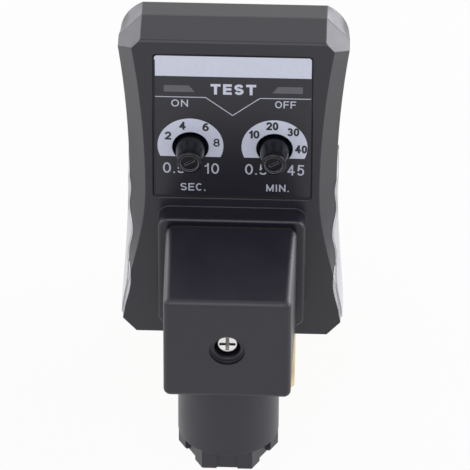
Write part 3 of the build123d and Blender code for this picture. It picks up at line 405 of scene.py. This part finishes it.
def mesh_from(name, form):
    """A new mesh with the shape of a bmesh, which is freed."""
    mesh = bpy.data.meshes.new(name)
    form.to_mesh(mesh)
    form.free()
    return mesh


def finished_piece(name, mesh, finish, body="head"):
    """Links a mesh as a piece that rides on a body, in its finish."""
    mesh.materials.clear()
    mesh.materials.append(finish.material)
    piece = bpy.data.objects.new(name, mesh)
    bpy.context.scene.collection.objects.link(piece)
    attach(piece, body)
    return piece


def printed_patches(name, patches, finish, layer=0):
    """Printed ink over the union of closed (across, height) outlines, on a layer above the film."""
    points, outlines = [], []
    for patch in patches:
        outlines.append(list(range(len(points), len(points) + len(patch))))
        points += [Vector(point) for point in patch]
    found = delaunay_2d_cdt(points, [], outlines, 1, 1e-5, True)
    kept = [face for face, sources in zip(found[2], found[5]) if sources]
    sides = {(face[i - 1], face[i]) for face in kept for i in range(len(face))}
    form = bmesh.new()
    low, high = layer * PRINT_THICKNESS, (layer + 1) * PRINT_THICKNESS
    rear = [form.verts.new(on_film(x, h, low)) for x, h in found[0]]
    front = [form.verts.new(on_film(x, h, high)) for x, h in found[0]]
    for face in kept:
        form.faces.new([front[i] for i in face])
        form.faces.new([rear[i] for i in reversed(face)])
    for i, j in sorted(sides):
        if (j, i) not in sides:
            form.faces.new((front[j], front[i], rear[i], rear[j]))
    bmesh.ops.delete(form, geom=[v for v in form.verts if not v.link_faces], context="VERTS")
    bmesh.ops.recalc_face_normals(form, faces=form.faces[:])
    finished_piece(name, mesh_from(name, form), finish)


def sheet_mesh(name, front, back):
    """A closed mesh between two grids of points that lie face to face."""
    form = bmesh.new()
    front, back = ([[form.verts.new(point) for point in row] for row in grid] for grid in (front, back))
    columns = range(len(front[0]) - 1)
    for i in range(len(front) - 1):
        for j in columns:
            for sheet in (front, back):
                form.faces.new((sheet[i][j], sheet[i][j + 1], sheet[i + 1][j + 1], sheet[i + 1][j]))
        for j in (0, -1):
            form.faces.new((front[i][j], front[i + 1][j], back[i + 1][j], back[i][j]))
    for i in (0, -1):
        for j in columns:
            form.faces.new((front[i][j], front[i][j + 1], back[i][j + 1], back[i][j]))
    bmesh.ops.recalc_face_normals(form, faces=form.faces[:])
    return mesh_from(name, form)


def bow(centre, reach, start, end, steps=16):
    """Points along part of an ellipse, from start to end in degrees."""
    turns = [math.radians(start + (end - start) * i / steps) for i in range(steps + 1)]
    return [(centre[0] + reach[0] * math.cos(t), centre[1] + reach[1] * math.sin(t)) for t in turns]


def arc(radius, start, end, steps, centre=(0.0, 0.0)):
    """Points round part of a circle, from start to end in degrees."""
    return bow(centre, (radius, radius), start, end, steps)


def ribbon(points, width):
    """The outline of a line of constant width through the points."""
    sides = []
    for i, (x, h) in enumerate(points):
        before, after = points[max(i - 1, 0)], points[min(i + 1, len(points) - 1)]
        first = Vector((x - before[0], h - before[1])).normalized() if i else None
        second = Vector((after[0] - x, after[1] - h)).normalized() if i < len(points) - 1 else None
        along = ((first or second) + (second or first)).normalized()
        across = Vector((-along.y, along.x))
        reach = width / 2 / max(0.3, along.dot(second or first))
        sides.append((Vector((x, h)) + across * reach, Vector((x, h)) - across * reach))
    return [tuple(b) for a, b in sides] + [tuple(a) for a, b in reversed(sides)]


def read_off(table, height):
    """The value at a height, between the rows of a table whose heights fall."""
    for (high, first), (low, second) in zip(table, table[1:]):
        if height >= low:
            return first + (second - first) * (high - height) / (high - low)
    return table[-1][1]


# ---- stroke lettering: each letter's width, then its pen strokes in a box one wide and one high ----
LETTERS = {
    "T": (1.12, ([(0, 1), (1, 1)], [(0.5, 1), (0.5, 0)])),
    "E": (0.92, ([(0, 0), (0, 1)], [(0, 1), (1, 1)], [(0, 0.52), (0.92, 0.52)], [(0, 0), (1, 0)])),
    "F": (0.86, ([(0, 0), (0, 1)], [(0, 1), (1, 1)], [(0, 0.5), (0.88, 0.5)])),
    "I": (0.0, ([(0, 0), (0, 1)],)),
    "N": (1.0, ([(0, 0), (0, 1)], [(0, 1), (1, 0)], [(1, 0), (1, 1)])),
    "M": (1.2, ([(0, 0), (0, 1)], [(0, 1), (0.5, 0.05)], [(0.5, 0.05), (1, 1)], [(1, 0), (1, 1)])),
    "S": (1.0, (bow((0.5, 0.75), (0.5, 0.25), 22, 270) + bow((0.5, 0.25), (0.5, 0.25), 90, -158)[1:],)),
    "O": (1.15, (bow((0.5, 0.5), (0.5, 0.5), 0, 360, 28),)),
    "C": (1.08, (bow((0.5, 0.5), (0.5, 0.5), 48, 312, 22),)),
    ".": (0.0, ([(0, 0), (0, 0.001)],)),
    "0": (1.0, (bow((0.5, 0.5), (0.5, 0.5), 0, 360, 28),)),
    "1": (0.45, ([(1, 0), (1, 1)], [(0, 0.74), (1, 0.9)])),
    "2": (1.0, (bow((0.5, 0.7), (0.5, 0.3), 172, -38) + [(0, 0)], [(0, 0), (1, 0)])),
    "3": (1.0, (bow((0.47, 0.76), (0.45, 0.24), 155, -90), bow((0.47, 0.26), (0.53, 0.26), 90, -155))),
    "4": (1.08, ([(0.72, 0), (0.72, 1)], [(0.72, 1), (0, 0.3)], [(0, 0.3), (1, 0.3)])),
    "5": (1.0, ([(0.16, 1), (0.94, 1)], [(0.16, 1), (0.06, 0.47)],
                bow((0.47, 0.33), (0.53, 0.33), 142, -152))),
    "6": (1.0, (bow((0.5, 0.31), (0.5, 0.31), 0, 360, 24), bow((0.66, 0.31), (0.66, 0.69), 180, 68))),
    "8": (1.0, (bow((0.5, 0.76), (0.44, 0.24), 0, 360, 22), bow((0.5, 0.26), (0.5, 0.26), 0, 360, 24))),
}


def pen_stroke(points, weight):
    """Patches that cover a pen stroke: one along each straight run and a round one at each joint."""
    half = weight / 2
    ends = Vector(points[-1]) - Vector(points[0])
    square = len(points) == 2 and min(abs(ends.x), abs(ends.y)) < half * 0.01
    patches = []
    for start, end in zip(points, points[1:]):
        along = (Vector(end) - Vector(start)).normalized() * half
        across = Vector((-along.y, along.x))
        reach = along if square else Vector((0, 0))
        first, last = Vector(start) - reach, Vector(end) + reach
        patches.append([first + across, first - across, last - across, last + across])
    joints = points[1:-1]
    if not square and (len(points) == 2 or ends.length < half * 0.01):
        joints = points
    return patches + [arc(half, 0, 330, 11, joint) for joint in joints]


def printed_words(name, words, box, weight, gap, finish, layer=0):
    """Words in strokes of one weight that fill a box (left, right, low, high), with a gap between letters."""
    left, right, low, high = box
    letters = [LETTERS[letter] for letter in words]
    room = right - left - weight * len(words) - gap * (len(words) - 1)
    unit = room / sum(wide for wide, _ in letters)
    patches = []
    across = left + weight / 2
    for wide, strokes in letters:
        for stroke in strokes:
            run = [(across + x * wide * unit, low + weight / 2 + y * (high - low - weight))
                   for x, y in stroke]
            patches += pen_stroke(run, weight)
        across += wide * unit + weight + gap
    printed_patches(name, patches, finish, layer)


# ---- what a user would change ----
class DrainValveColours(bpy.types.PropertyGroup):
    """Colours of the visible materials."""

    case: FloatVectorProperty(name="Timer case", description="Black plastic of the timer's shells",
                              subtype="COLOR", size=3, min=0, max=1, default=(0.009, 0.008, 0.015))
    grips: FloatVectorProperty(name="Side grips", description="Silver lacquer of the side grips",
                               subtype="COLOR", size=3, min=0, max=1, default=(0.60, 0.60, 0.63))
    film: FloatVectorProperty(name="Front film", description="Dark ground of the printed film",
                              subtype="COLOR", size=3, min=0, max=1, default=(0.008, 0.007, 0.013))
    pale_ink: FloatVectorProperty(name="Pale ink", description="Dials, divider and lettering",
                                  subtype="COLOR", size=3, min=0, max=1, default=(0.60, 0.63, 0.74))
    connector: FloatVectorProperty(name="Cable connector", description="Slate black nylon of the connector",
                                   subtype="COLOR", size=3, min=0, max=1, default=(0.008, 0.007, 0.014))
    brass: FloatVectorProperty(name="Brass", description="Forged brass of the valve",
                               subtype="COLOR", size=3, min=0, max=1, default=(0.80, 0.62, 0.33))
    coil: FloatVectorProperty(name="Coil", description="Black epoxy of the coil",
                              subtype="COLOR", size=3, min=0, max=1, default=(0.014, 0.014, 0.015))


class DrainValvePrint(bpy.types.PropertyGroup):
    """Sizes of the dials and the divider on the front film, in millimetres."""

    dial_offset: FloatProperty(name="Dial offset", description="Centre line to each dial's centre, mm",
                               default=8.8, min=6, max=11)
    dial_height: FloatProperty(name="Dial height", description="Plug axis to the dials' centres, mm",
                               default=29.3, min=20, max=40)
    dial_inner: FloatProperty(name="Dial inner radius", description="Inside of the pale dial ring, mm",
                              default=3.86, min=3.82, max=5)
    dial_outer: FloatProperty(name="Dial outer radius", description="Outside of the pale dial ring, mm",
                              default=6.9, min=5, max=8)
    dial_rise: FloatProperty(name="Dial rise", default=0.4, min=0, max=1,
                             description="Centre of the ring's outer edge above its hole, mm")
    dial_cut: FloatProperty(name="Dial cut", description="Where the ring is cut flat below its centre, mm",
                            default=2.4, min=0, max=3.5)
    line: FloatProperty(name="Divider width", description="Width of the printed divider, mm",
                        default=0.19, min=0.05, max=0.6)


class DrainValveStudio(bpy.types.PropertyGroup):
    """Camera and floor."""

    lens: FloatProperty(name="Lens", description="Focal length on a 36 mm sensor, mm", default=397.7, min=50)
    distance: FloatProperty(name="Distance", description="Camera to the timer's front", default=1.1,
                            min=0.3, unit="LENGTH")
    elevation: FloatProperty(name="Elevation", description="Height of the camera above level",
                             default=math.radians(36.47), unit="ROTATION")
    azimuth: FloatProperty(name="Azimuth", description="Turn of the camera round the object",
                           default=math.radians(1.6), unit="ROTATION")
    roll: FloatProperty(name="Roll", description="Tilt of the picture", default=math.radians(0.31),
                        unit="ROTATION")
    floor: FloatVectorProperty(name="Floor", description="Colour of the floor", subtype="COLOR", size=3,
                               min=0, max=1, default=(0.90, 0.90, 0.90))


class DrainValveSettings(bpy.types.PropertyGroup):
    """Everything the panel shows."""

    colours: PointerProperty(type=DrainValveColours)
    artwork: PointerProperty(type=DrainValvePrint)
    studio: PointerProperty(type=DrainValveStudio)


# ---- operators ----
class DressBrass(bpy.types.Operator):
    """Forged and machined brass for the valve body and bonnet"""

    bl_idname = "drain_valve.dress_brass"
    bl_label = "Brass valve"

    def execute(self, context):
        colour = tuple(context.scene.drain_valve.colours.brass)
        finish = Finish("forged_brass", Metallic=1.0)
        soft, edge_mask = finish.edges(0.3)
        skin = finish.noise(0.45, detail=4.0, rough=0.65)
        cloud = finish.noise(7.0, detail=3.0)
        faces_port = finish.tilt((0, 1, 0))
        machined = finish.ramp(faces_port * faces_port, (0.6, 0.0), (0.9, 1.0))
        darker = tuple(channel * share for channel, share in zip(colour, (0.62, 0.55, 0.5)))
        tint = finish.mix(finish.ramp(cloud, (0.35, 0.1), (0.7, 0.8)), colour, darker)
        tint = finish.mix(machined * 0.6, tint, scaled(colour, 1.1))
        # Brighter edges: partly wear, partly a painted highlight along the edges.
        tint = finish.mix(edge_mask * 0.6, tint, scaled(colour, 1.15))
        gloss = 0.34 + (cloud - 0.5) * 0.14 + (skin - 0.5) * 0.16 - machined * 0.10 - edge_mask * 0.08
        finish.set(Base_Color=tint, Roughness=gloss,
                   Normal=finish.bump(skin * (1 - machined * 0.8), 0.03, soft))
        dress(finish, "forged_brass", "valve_body", "bonnet")
        return {"FINISHED"}


class DressStem(bpy.types.Operator):
    """Stainless stem parts, zinc plated nut and washer, copper shading ring, the plunger and its spring"""

    bl_idname = "drain_valve.dress_stem"
    bl_label = "Stem and plunger"

    def execute(self, context):
        steel = turned_metal("stainless", STAINLESS, roughness=0.26, stretch=(0.2, 0.2, 3.0))
        dress(steel, "stainless", "armature_tube", "fixed_core", "plunger")
        self.spring(steel)
        zinc = turned_metal("zinc_plate", ZINC_PLATE, roughness=0.30, line_depth_mm=0.006)
        dress(zinc, "zinc_steel", "coil_nut", "coil_washer")
        copper = turned_metal("shading_copper", COPPER_RING, roughness=0.25, stretch=(1, 1, 3))
        dress(copper, "copper", "shading_ring")
        dress(soft_rubber("seal_rubber", SEAL_BLACK), "rubber", "plunger_seal", "bonnet_o_ring")
        return {"FINISHED"}

    def spring(self, steel):
        """The closing spring, copied as a piece that rides rigidly on the plunger."""
        coils = NODES["plunger_spring"].data.copy()
        spring = finished_piece("closing_spring", coils, steel, "plunger")
        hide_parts("plunger_spring")
        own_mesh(spring)


class DressCoil(bpy.types.Operator):
    """Epoxy coil with its yoke, bobbin, winding and blades"""

    bl_idname = "drain_valve.dress_coil"
    bl_label = "Coil"

    def execute(self, context):
        colour = tuple(context.scene.drain_valve.colours.coil)
        epoxy = moulding("coil_epoxy", colour, roughness=0.34, grain_mm=0.30, grain_depth_mm=0.012,
                         edge_mm=0.35)
        dress(epoxy, "black_epoxy", "coil_housing")
        yoke = turned_metal("yoke_zinc", DULL_ZINC, roughness=0.36, line_depth_mm=0.01)
        dress(yoke, "zinc_steel", "coil_yoke")
        nylon = moulding("bobbin_nylon", BOBBIN_WHITE, roughness=0.45, grain_mm=0.4, grain_depth_mm=0.006)
        dress(nylon, "nylon_white", "coil_bobbin")
        dress(self.winding(), "copper", "coil_winding")
        blades = turned_metal("tinned_blades", TIN_PLATE, roughness=0.28, stretch=(1, 3, 1))
        dress(blades, "tinned_brass", "coil_terminals", "input_pins", "output_sockets", "connector_contacts")
        dress(soft_rubber("gasket_rubber", GASKET_BLACK), "rubber", "coil_gasket",
              "connector_gasket", "screw_washer", "gland_grommet")
        return {"FINISHED"}

    def winding(self):
        """Enamelled wire, turn upon turn."""
        wire = Finish("enamelled_wire", Metallic=1.0, Coat_Weight=0.6)
        turns = wire.node("ShaderNodeTexWave", {"bands_direction": "Z"},
                          {"Vector": wire.place(), "Scale": WIRE_SCALE}, output=1)
        return wire.set(Base_Color=wire.mix(turns, WIRE_DARK, WIRE_BRIGHT), Roughness=0.3,
                        Normal=wire.bump(turns, 0.15))


class DressCase(bpy.types.Operator):
    """Black satin shells of the timer and the screws that hold them"""

    bl_idname = "drain_valve.dress_case"
    bl_label = "Timer case"

    def execute(self, context):
        colour = tuple(context.scene.drain_valve.colours.case)
        front = moulding("case_plastic", colour, roughness=0.36, grain_mm=0.22, grain_depth_mm=0.008,
                         edge_mm=0.4)
        dress(front, "black_abs", "front_shell")
        rear = moulding("rear_case_plastic", scaled(colour, 1.0, lift=REAR_PALER), roughness=0.33,
                        grain_mm=0.22, grain_depth_mm=0.008, edge_mm=0.4, Specular_IOR_Level=0.75)
        dress(rear, "black_abs", "rear_shell")
        screws = turned_metal("case_screw_zinc", ZINC_PLATE, roughness=0.3)
        dress(screws, "zinc_steel", "shell_screws", "terminal_screws")
        return {"FINISHED"}


class DressGrips(bpy.types.Operator):
    """Silver lacquered side grips, with the thin lip of each over the front edge of the case"""

    bl_idname = "drain_valve.dress_grips"
    bl_label = "Side grips"

    def execute(self, context):
        colour = tuple(context.scene.drain_valve.colours.grips)
        finish = Finish("silver_lacquer", Metallic=0.75, Coat_Weight=0.25, Coat_Roughness=0.15)
        soft, edge_mask = finish.edges(0.25)
        flake = finish.node("ShaderNodeTexVoronoi", None, {"Vector": finish.place(), "Scale": FLAKE_SCALE})
        cloud = finish.noise(5.0)
        tint = finish.mix(flake, scaled(colour, 0.85), scaled(colour, 1.12))
        # Darker rims: a painted reflection of dark surroundings along the grips' edges.
        tint = finish.mix(edge_mask * 0.8, tint, scaled(colour, 0.35))
        gloss = 0.36 + (cloud - 0.5) * 0.08 + (flake - 0.5) * 0.1 + edge_mask * 0.04
        finish.set(Base_Color=tint, Roughness=gloss, Normal=finish.bump(finish.noise(0.2), 0.003, soft))
        dress(finish, "silver_abs", "left_side_grip", "right_side_grip")
        for side, grip in ((-1, "left_side_grip"), (1, "right_side_grip")):
            self.lip(side, grip, finish)
        return {"FINISHED"}

    def lip(self, side, grip, finish):
        """A thin lacquered sheet over the case's front edge, from the lip's inner edge out to the grip."""
        grip_skin, case_skin = (
            BVHTree.FromPolygons([v.co for v in mesh.vertices], [p.vertices for p in mesh.polygons])
            for mesh in (NODES[grip].data, NODES["front_shell"].data))

        def sound(skin, across, height):
            """How far back a skin lies at a spot."""
            spot = skin.ray_cast(on_film(side * across, height, LIP_CAST), (0, 1, 0))[0]
            return spot.y if spot else NOTHING_THERE

        def surface(across, height):
            """How far back the foremost of both skins lies at a spot."""
            return min(sound(skin, across, height) for skin in (grip_skin, case_skin))

        front, back = [], []
        for i in range(LIP_ROWS + 1):
            height = LIP_EDGE[0][0] + (LIP_EDGE[-1][0] - LIP_EDGE[0][0]) * i / LIP_ROWS
            inner = outer = read_off(LIP_EDGE, height)
            while outer < inner + LIP_REACH and not (sound(grip_skin, outer, height)
                                                     < sound(case_skin, outer, height)):
                outer += LIP_STEP
            outer += LIP_LAP
            spots = []
            for j in range(LIP_COLUMNS + 1):
                across = inner + (outer - inner) * j / LIP_COLUMNS
                depth = min(surface(across + shift, height) for shift in (-LIP_STEP, 0, LIP_STEP))
                spots.append((on_film(side * across, height, 0), depth))
            front.append([(spot.x, depth - LIP_PROUD * MM, spot.z) for spot, depth in spots])
            back.append([(spot.x, depth + LIP_PROUD * MM, spot.z) for spot, depth in spots])
        finished_piece(grip + "_lip", sheet_mesh(grip + "_lip", front, back), finish)


class PrintFilm(bpy.types.Operator):
    """Front film with its blank label strip, lamp windows, divider, dials and lettering"""

    bl_idname = "drain_valve.print_film"
    bl_label = "Front film"

    def execute(self, context):
        settings = context.scene.drain_valve
        ground = moulding("film_ground", tuple(settings.colours.film), roughness=0.34, grain_mm=0.15,
                          grain_depth_mm=0.003, edge_mm=0.1)
        dress(ground, "printed_film", "panel_overlay")
        pale_colour = tuple(settings.colours.pale_ink)
        pale = ink("pale_ink", pale_colour)
        dim = ink("dim_ink", scaled(pale_colour, DIM_INK_SHARE))
        self.edging()
        window = ink("lamp_window", WINDOW_GREY, 0.22)
        for name, outline in WINDOWS:
            printed_patches(name, [outline], window)
        printed_patches("panel_divider", [ribbon(DIVIDER, settings.artwork.line)], dim)
        printed_words(*TITLE, pale)
        for word in WORDS:
            printed_words(*word, dim)
        self.dials(settings.artwork, pale)
        for name, words, left, right in SCALE_ENDS:
            printed_words(name, words, (left, right, SCALE_END_LOW, SCALE_END_HIGH), SCALE_END_WEIGHT,
                          SCALE_END_GAP, dim)
        return {"FINISHED"}

    def edging(self):
        """The blank label strip at the top of the film, and a dark band of painted shade round the rest,
        where the recess edge shades the film.
        """
        half = FILM_HIGH.x / MM - FILM_MARGIN
        top = (FILM_HIGH.z - PLUG_AXIS_Z) / MM - FILM_MARGIN
        strip = [(-half, LABEL_LOW), (half, LABEL_LOW)]
        strip += arc(LABEL_CORNER, 0, 90, 6, (half - LABEL_CORNER, top - LABEL_CORNER))
        strip += arc(LABEL_CORNER, 90, 180, 6, (LABEL_CORNER - half, top - LABEL_CORNER))
        printed_patches("blank_label_strip", [strip], ink("strip_ink", LABEL_WHITE, 0.4))
        low = (FILM_LOW.z - PLUG_AXIS_Z) / MM + SHADE_MARGIN
        inside, high, foot = SHADE_SIDE - half, top - SHADE_DROP, low + SHADE_FOOT
        shade_band = [(-half, high), (-half, low), (half, low), (half, foot), (inside, foot), (inside, high)]
        # A band of painted shade along the film's left and bottom edges, where the recess edge shades it.
        printed_patches("film_edge_shade", [shade_band], ink("edge_shade_paint", EDGE_SHADE, 0.7))

    def dials(self, art, pale):
        """Both dial rings, cut flat below, with their numbers."""
        dark = ink("dark_ink", DARK_INK)
        outer_end = math.degrees(math.asin((art.dial_cut + art.dial_rise) / art.dial_outer))
        inner_end = math.degrees(math.asin(art.dial_cut / art.dial_inner))
        for dial, side, numbers in DIALS:
            centre_x, centre_h = side * art.dial_offset, art.dial_height
            ring = arc(art.dial_outer, -outer_end, 180 + outer_end, 60, (centre_x, centre_h + art.dial_rise))
            ring += arc(art.dial_inner, 180 + inner_end, -inner_end, 48, (centre_x, centre_h))
            printed_patches(f"{dial}_dial_ring", [ring], pale)
            for number, across, up, half_wide, weight in numbers:
                x, h = centre_x + across, centre_h + up
                box = (x - half_wide, x + half_wide, h - NUMBER_HALF_HEIGHT, h + NUMBER_HALF_HEIGHT)
                printed_words(f"{dial}_mark_{number}", number, box, weight, NUMBER_GAP, dark, layer=1)


class DressKnobs(bpy.types.Operator):
    """Setting knobs, the trimmers they turn and the board's capacitor"""

    bl_idname = "drain_valve.dress_knobs"
    bl_label = "Knobs"

    def execute(self, context):
        knob = Finish("knob_plastic", IOR=1.5, Specular_IOR_Level=0.3)
        soft, edge_mask = knob.edges(0.3)
        turning = knob.noise(0.4, detail=3.0)
        # Rims painted paler: a painted highlight along the knobs' rims.
        knob.set(Base_Color=knob.mix(edge_mask, KNOB_BLACK, KNOB_RIM_HIGHLIGHT),
                 Roughness=0.24 + (turning - 0.5) * 0.06, Normal=knob.bump(turning, 0.002, soft))
        dress(knob, "knob_black", "on_time_knob", "off_time_knob")
        blue = moulding("trimmer_plastic", TRIMMER_BLUE, roughness=0.45, grain_mm=0.3, grain_depth_mm=0.006)
        dress(blue, "trimmer_blue", "on_time_trimmer", "off_time_trimmer", "board_capacitor")
        return {"FINISHED"}


class DressBoard(bpy.types.Operator):
    """Circuit board and the parts soldered to it"""

    bl_idname = "drain_valve.dress_board"
    bl_label = "Circuit board"

    def execute(self, context):
        mask = Finish("solder_mask", IOR=1.52)
        tracks = mask.node("ShaderNodeTexBrick", None, {
            "Vector": mask.place(), "Scale": TRACK_SCALE, "Color1": (1, 1, 1), "Color2": (0.6, 0.6, 0.6),
            "Mortar": (0, 0, 0)}, output=1)
        mask.set(Base_Color=mask.mix(tracks, BOARD_DARK, BOARD_GREEN), Roughness=0.3,
                 Normal=mask.bump(tracks, 0.03))
        dress(mask, "board_green", "circuit_board")
        for lamp, slot, colour in (("power_lamp", "lamp_green", LAMP_GREEN),
                                   ("valve_lamp", "lamp_red", LAMP_RED)):
            epoxy = moulding(lamp + "_epoxy", colour, roughness=0.12, grain_mm=2.0, grain_depth_mm=0.002,
                             Transmission_Weight=0.5)
            dress(epoxy, slot, lamp)
        switch = moulding("switch_plastic", SWITCH_BLACK, roughness=0.4, grain_mm=0.3, grain_depth_mm=0.005)
        dress(switch, "knob_black", "test_switch")
        nylon = moulding("button_nylon", BUTTON_WHITE, roughness=0.4, grain_mm=0.3, grain_depth_mm=0.005)
        dress(nylon, "nylon_white", "test_button", "gland_washer")
        triac = moulding("triac_epoxy", TRIAC_BLACK, roughness=0.5, grain_mm=0.25, grain_depth_mm=0.01)
        dress(triac, "black_epoxy", "board_triac")
        return {"FINISHED"}


class DressConnector(bpy.types.Operator):
    """Square cable connector, its insert, and the gland nut"""

    bl_idname = "drain_valve.dress_connector"
    bl_label = "Cable connector"

    def execute(self, context):
        colour = tuple(context.scene.drain_valve.colours.connector)
        nylon = moulding("connector_nylon", colour, roughness=0.40, grain_mm=0.28, grain_depth_mm=0.012,
                         edge_mm=0.35)
        dress(nylon, "slate_nylon", "connector_housing", "connector_insert", "gland_nut")
        return {"FINISHED"}


class DressScrew(bpy.types.Operator):
    """Central screw that holds the connector and the timer on the coil"""

    bl_idname = "drain_valve.dress_screw"
    bl_label = "Central screw"

    def execute(self, context):
        zinc = turned_metal("screw_zinc", BRIGHT_ZINC, roughness=0.22)
        point = zinc.place()
        flat = zinc.node("ShaderNodeVectorMath", {"operation": "MULTIPLY"}, {0: point, 1: (1, 0, 1)})
        away = zinc.node("ShaderNodeVectorMath", {"operation": "DISTANCE"},
                         {0: flat, 1: (0, 0, PLUG_AXIS_Z)}, output=1)
        depth = zinc.node("ShaderNodeSeparateXYZ", None, {0: point}, output=1)
        sunk = zinc.ramp((depth - SCREW_LOW.y) / (RECESS_DEPTH * MM), (0.15, 0.0), (0.6, 1.0))
        inside = zinc.ramp(away / (RECESS_RADIUS * MM), (0.8, 1.0), (0.9, 0.0))
        # The recess in the head is painted dark: painted shade where the recess lies.
        zinc.set(Base_Color=zinc.mix(sunk * inside * 0.85, zinc.fed("Base Color"), RECESS_SHADE))
        dress(zinc, "zinc_steel", "central_screw")
        return {"FINISHED"}


class BuildStudio(bpy.types.Operator):
    """Pale floor, white surroundings, soft lamps and the camera"""

    bl_idname = "drain_valve.build_studio"
    bl_label = "Studio"

    def execute(self, context):
        studio = context.scene.drain_valve.studio
        context.scene.view_settings.view_transform = "Standard"
        self.camera(context, studio)
        self.surroundings(context)
        self.floor(context, studio)
        self.lamps(context)
        return {"FINISHED"}

    def camera(self, context, studio):
        """The camera looks down on the timer's front from a little to one side."""
        side, rise = studio.azimuth, studio.elevation
        view = Vector((-math.sin(side) * math.cos(rise), math.cos(side) * math.cos(rise), -math.sin(rise)))
        right = Vector((math.cos(side), math.sin(side), 0))
        up = right.cross(view)
        level = Matrix((right, up, -view)).transposed().to_4x4()
        aim = Vector((0, FILM_FRONT_Y, PLUG_AXIS_Z)) + Vector(AIM_OFFSET) * MM
        data = bpy.data.cameras.new("catalogue_camera")
        data.sensor_width = SENSOR_WIDTH
        data.lens = studio.lens
        data.clip_start = 0.01
        camera = bpy.data.objects.new("catalogue_camera", data)
        camera.matrix_world = (Matrix.Translation(aim - view * studio.distance) @ level
                               @ Matrix.Rotation(studio.roll, 4, "Z"))
        context.scene.collection.objects.link(camera)
        context.scene.camera = camera

    def surroundings(self, context):
        """A world that looks white and lights the object softly."""
        world = bpy.data.worlds.new("white_room")
        world.use_nodes = True
        room = Shading(world.node_tree)
        lit = room.node("ShaderNodeBackground", None, {"Color": (1, 1, 1), "Strength": WORLD_LIGHT})
        white = room.node("ShaderNodeBackground", None, {"Color": (1, 1, 1), "Strength": 1.0})
        seen = room.ray("Camera") | room.ray("Glossy") | room.ray("Transmission")
        blend = room.node("ShaderNodeMixShader", None, {0: seen, 1: lit, 2: white})
        room.node("ShaderNodeOutputWorld", None, {"Surface": blend})
        context.scene.world = world

    def floor(self, context, studio):
        """A pale round floor just under the object that fades into the white room."""
        form = bmesh.new()
        bmesh.ops.create_circle(form, cap_ends=True, radius=FLOOR_RADIUS, segments=FLOOR_SIDES)
        mesh = mesh_from("pale_floor", form)
        floor = bpy.data.objects.new("pale_floor", mesh)
        floor.location = (0, FLOOR_CENTRE_Y, CAD_BOX[0].z - FLOOR_GAP)
        context.scene.collection.objects.link(floor)
        finish = Finish("pale_floor", Base_Color=tuple(studio.floor), Roughness=0.6)
        white = finish.node("ShaderNodeEmission", None, {"Color": (1, 1, 1), "Strength": 1.0})
        factor = finish.ray("Camera") * FLOOR_WHITE_SEEN + finish.ray("Glossy") * FLOOR_WHITE_MIRRORED
        plain = Signal(finish, finish.shader.outputs[0])
        share = finish.node("ShaderNodeMixShader", None, {0: factor, 1: plain, 2: white})
        finish.feed(finish.output.inputs["Surface"], share)
        mesh.materials.append(finish.material)

    def lamps(self, context):
        """Large soft boxes at both sides, behind and over the camera."""
        for name, place, size, power in LAMPS:
            data = bpy.data.lights.new(name, "AREA")
            data.shape = "SQUARE"
            data.size = size
            data.energy = power
            data.color = LAMP_COLOUR
            lamp = bpy.data.objects.new(name, data)
            lamp.location = place
            lamp.rotation_euler = (Vector(LAMP_AIM) - Vector(place)).to_track_quat("-Z", "Y").to_euler()
            context.scene.collection.objects.link(lamp)


PIECES = (DressBrass, DressStem, DressCoil, DressCase, DressGrips, PrintFilm, DressKnobs, DressBoard,
          DressConnector, DressScrew, BuildStudio)


class DrainValvePanel(bpy.types.Panel):
    """Lists the pieces and their settings"""

    bl_idname = "DRAINVALVE_PT_pieces"
    bl_label = "Drain valve"
    bl_space_type = "VIEW_3D"
    bl_region_type = "UI"
    bl_category = "Drain valve"

    def draw(self, context):
        settings = context.scene.drain_valve
        for group in (settings.colours, settings.artwork, settings.studio):
            box = self.layout.box()
            for name in group.__annotations__:
                box.prop(group, name)
        for piece in PIECES:
            self.layout.operator(piece.bl_idname)


CLASSES = (DrainValveColours, DrainValvePrint, DrainValveStudio, DrainValveSettings, *PIECES,
           DrainValvePanel)


def register():
    for group in CLASSES:
        bpy.utils.register_class(group)
    bpy.types.Scene.drain_valve = PointerProperty(type=DrainValveSettings)


def unregister():
    del bpy.types.Scene.drain_valve
    for group in reversed(CLASSES):
        bpy.utils.unregister_class(group)


def main():
    """Dresses every piece in order."""
    register()
    for piece in PIECES:
        getattr(bpy.ops.drain_valve, piece.bl_idname.split(".")[1])()


if __name__ == "__main__":
    main()
